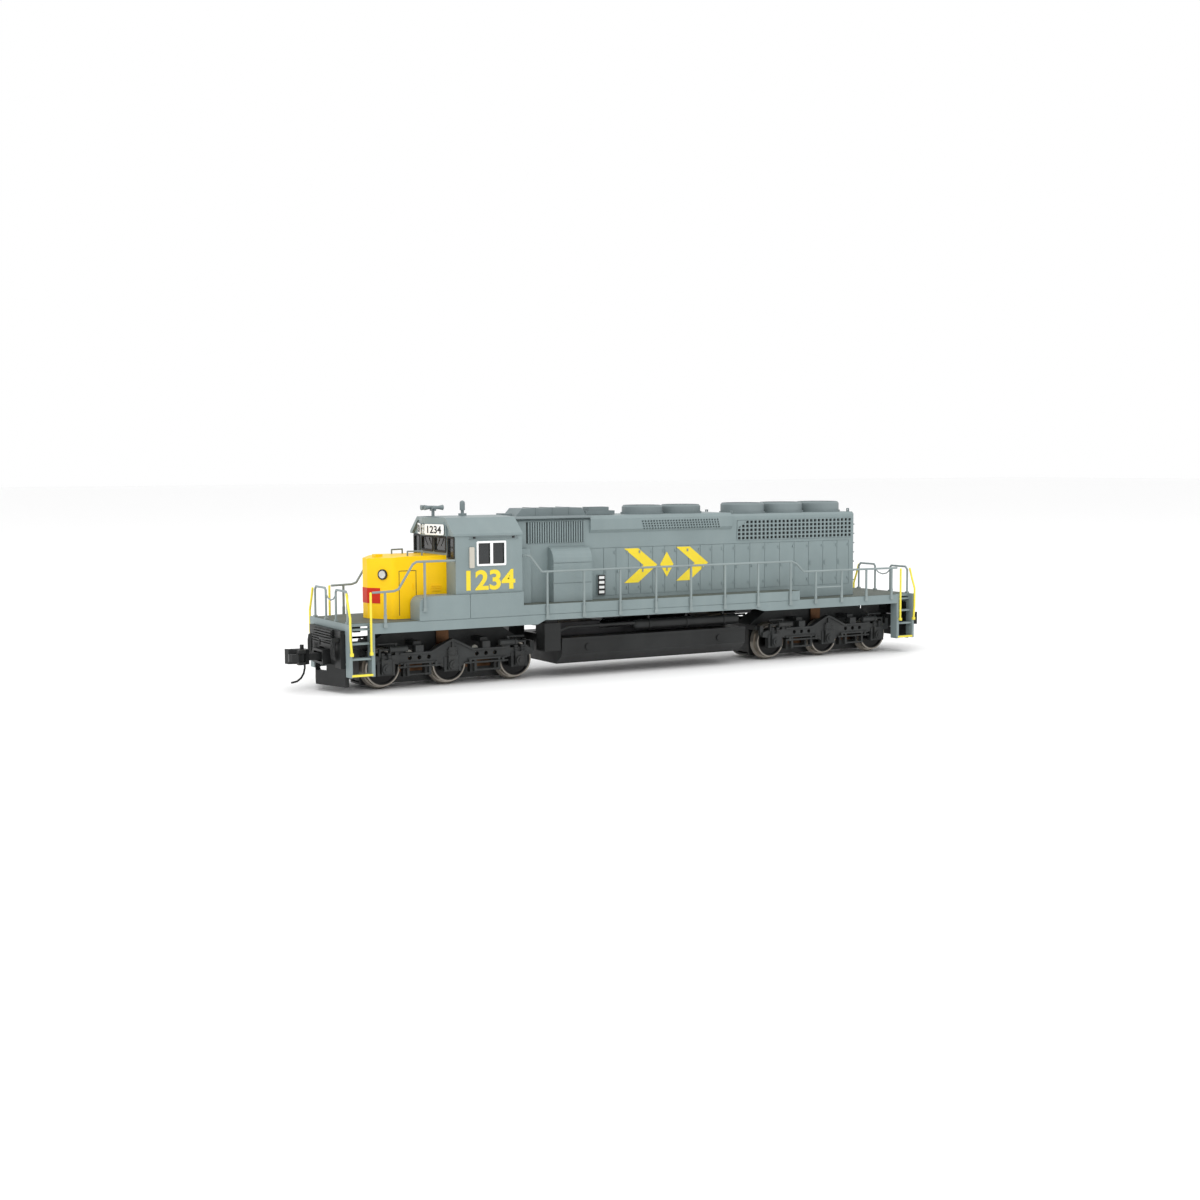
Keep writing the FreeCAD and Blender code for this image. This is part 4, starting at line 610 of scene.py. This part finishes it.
openings = {"intake": {"x": (13.95, 26.05), "z": (24.75, 28.55), "y": (5.31, 5.36)},
            "brake": {"x": (-16.4, 1.8), "z": (26.6, 28.7), "y": (5.62, 5.68)},
            "radiator": {"z": (24.15, 27.95), "tail": -48.5, "nose": (-20.35, -22.9), "notchZ": 26.4,
                         "y": (5.31, 5.35), "cornerY": 5.3, "cornerThick": 0.34}}


# dark plates behind the intake, brake and radiator grilles are painted shadow: they darken the recesses
# where shade falls
def paintedShadowBacks(o):
    shape = bmesh.new()
    for side in (-1, 1):
        for name in ("intake", "brake"):
            spans = o[name]
            ys = sorted((side * spans["y"][0], side * spans["y"][1]))
            addBlock(shape, (spans["x"][0], ys[0], spans["z"][0]), (spans["x"][1], ys[1], spans["z"][1]))
        r = o["radiator"]
        low, high = r["z"]
        edge, step = r["nose"]
        points = [(r["tail"], low), (edge, low), (edge, r["notchZ"]), (step, high), (r["tail"], high)]
        addPrism(shape, [spot(x, side * r["y"][0], z) for x, z in points],
                 spot(0, side * (r["y"][1] - r["y"][0]), 0))
    return keep("painted_shadow_backs", shape, "gasketBlack")


def radiatorCorners(o):
    shape = bmesh.new()
    r = o["radiator"]
    edge, step = r["nose"]
    for side in (-1, 1):
        points = [(edge, r["notchZ"] + 0.05), (edge, r["z"][1]), (step + 0.05, r["z"][1])]
        addPrism(shape, [spot(x, side * r["cornerY"], z) for x, z in points],
                 spot(0, side * r["cornerThick"], 0))
    return keep("radiator_corners", shape, "bodyGrey")


levelGlass = {"x": (9.75, 11.35), "z": (14.75, 18.45), "y": 5.9, "bars": (15.02, 15.92, 16.82, 17.72),
              "barTall": 0.5, "barInset": 0.25}


def levelPlates(g):
    shape = bmesh.new()
    for side in (-1, 1):
        ys = sorted((side * (g["y"] + 0.01), side * (g["y"] + 0.06)))
        addBlock(shape, (g["x"][0], ys[0], g["z"][0]), (g["x"][1], ys[1], g["z"][1]))
    return keep("level_plate", shape, "gasketBlack", bevel=0.01)


def levelBars(g):
    shape = bmesh.new()
    for side in (-1, 1):
        ys = sorted((side * (g["y"] + 0.05), side * (g["y"] + 0.13)))
        for z in g["bars"]:
            addBlock(shape, (g["x"][0] + g["barInset"], ys[0], z),
                     (g["x"][1] - g["barInset"], ys[1], z + g["barTall"]))
    return keep("level_bars", shape, "trimWhite", bevel=0.02)


decks = {"z": 12.11, "thick": 0.05, "edgeY": 9.5, "notchY": 8.2, "stepX": 57.3, "endX": 61.85,
         "front": 49.2, "rear": -49.3, "wallY": 5.7,
         "walks": ((-49.3, -32.7, 12.11), (-32.5, 28.7, 13.91))}


def deckPlates(d):
    shape = bmesh.new()
    up = spot(0, 0, d["thick"])
    front = [(d["front"], d["edgeY"]), (d["stepX"], d["edgeY"]), (d["stepX"], d["notchY"]),
             (d["endX"], d["notchY"])]
    front += [(x, -y) for x, y in reversed(front)]
    front += [(d["front"], -5.2), (52.0, -5.2), (55.0, -0.9), (55.0, 0.9), (52.0, 5.2), (d["front"], 5.2)]
    addPrism(shape, [spot(x, y, d["z"]) for x, y in front], up)
    back = [(-d["stepX"], d["edgeY"]), (-d["stepX"], d["notchY"]), (-d["endX"], d["notchY"])]
    back += [(x, -y) for x, y in reversed(back)]
    back += [(d["rear"], -d["edgeY"]), (d["rear"], d["edgeY"])]
    addPrism(shape, [spot(x, y, d["z"]) for x, y in back], up)
    for side in (-1, 1):
        ys = sorted((side * d["wallY"], side * d["edgeY"]))
        for x0, x1, z in d["walks"]:
            addBlock(shape, (x0, ys[0], z), (x1, ys[1], z + d["thick"]))
    return keep("deck_plates", shape, "deckGrey")


noseDoor = {"x": (47.8, 51.0), "z": (12.8, 20.6), "y": 5.4, "half": 0.06}


# thin black strips laid in the nose door grooves are painted shade, darkening the grooves where shade falls
def noseDoorGrooveShade(n):
    shape = bmesh.new()
    low, high = n["z"]
    for side in (-1, 1):
        ys = sorted((side * (n["y"] - 0.08), side * (n["y"] + 0.012)))
        for x in n["x"]:
            addBlock(shape, (x - n["half"], ys[0], low), (x + n["half"], ys[1], high))
        addBlock(shape, (n["x"][0] + n["half"], ys[0], high - n["half"]),
                 (n["x"][1] - n["half"], ys[1], high + n["half"]))
    return keep("nose_door_groove_shade", shape, "gasketBlack")


hoodMarks(hoodMark)
deckPlates(decks)
noseDoorGrooveShade(noseDoor)
nosePanel(noseFront)
lampRings(noseFront)
stepEdges(stepEdge)
paintedShadowBacks(openings)
radiatorCorners(openings)
levelPlates(levelGlass)
levelBars(levelGlass)
print("marks, deck plates and step edges made")
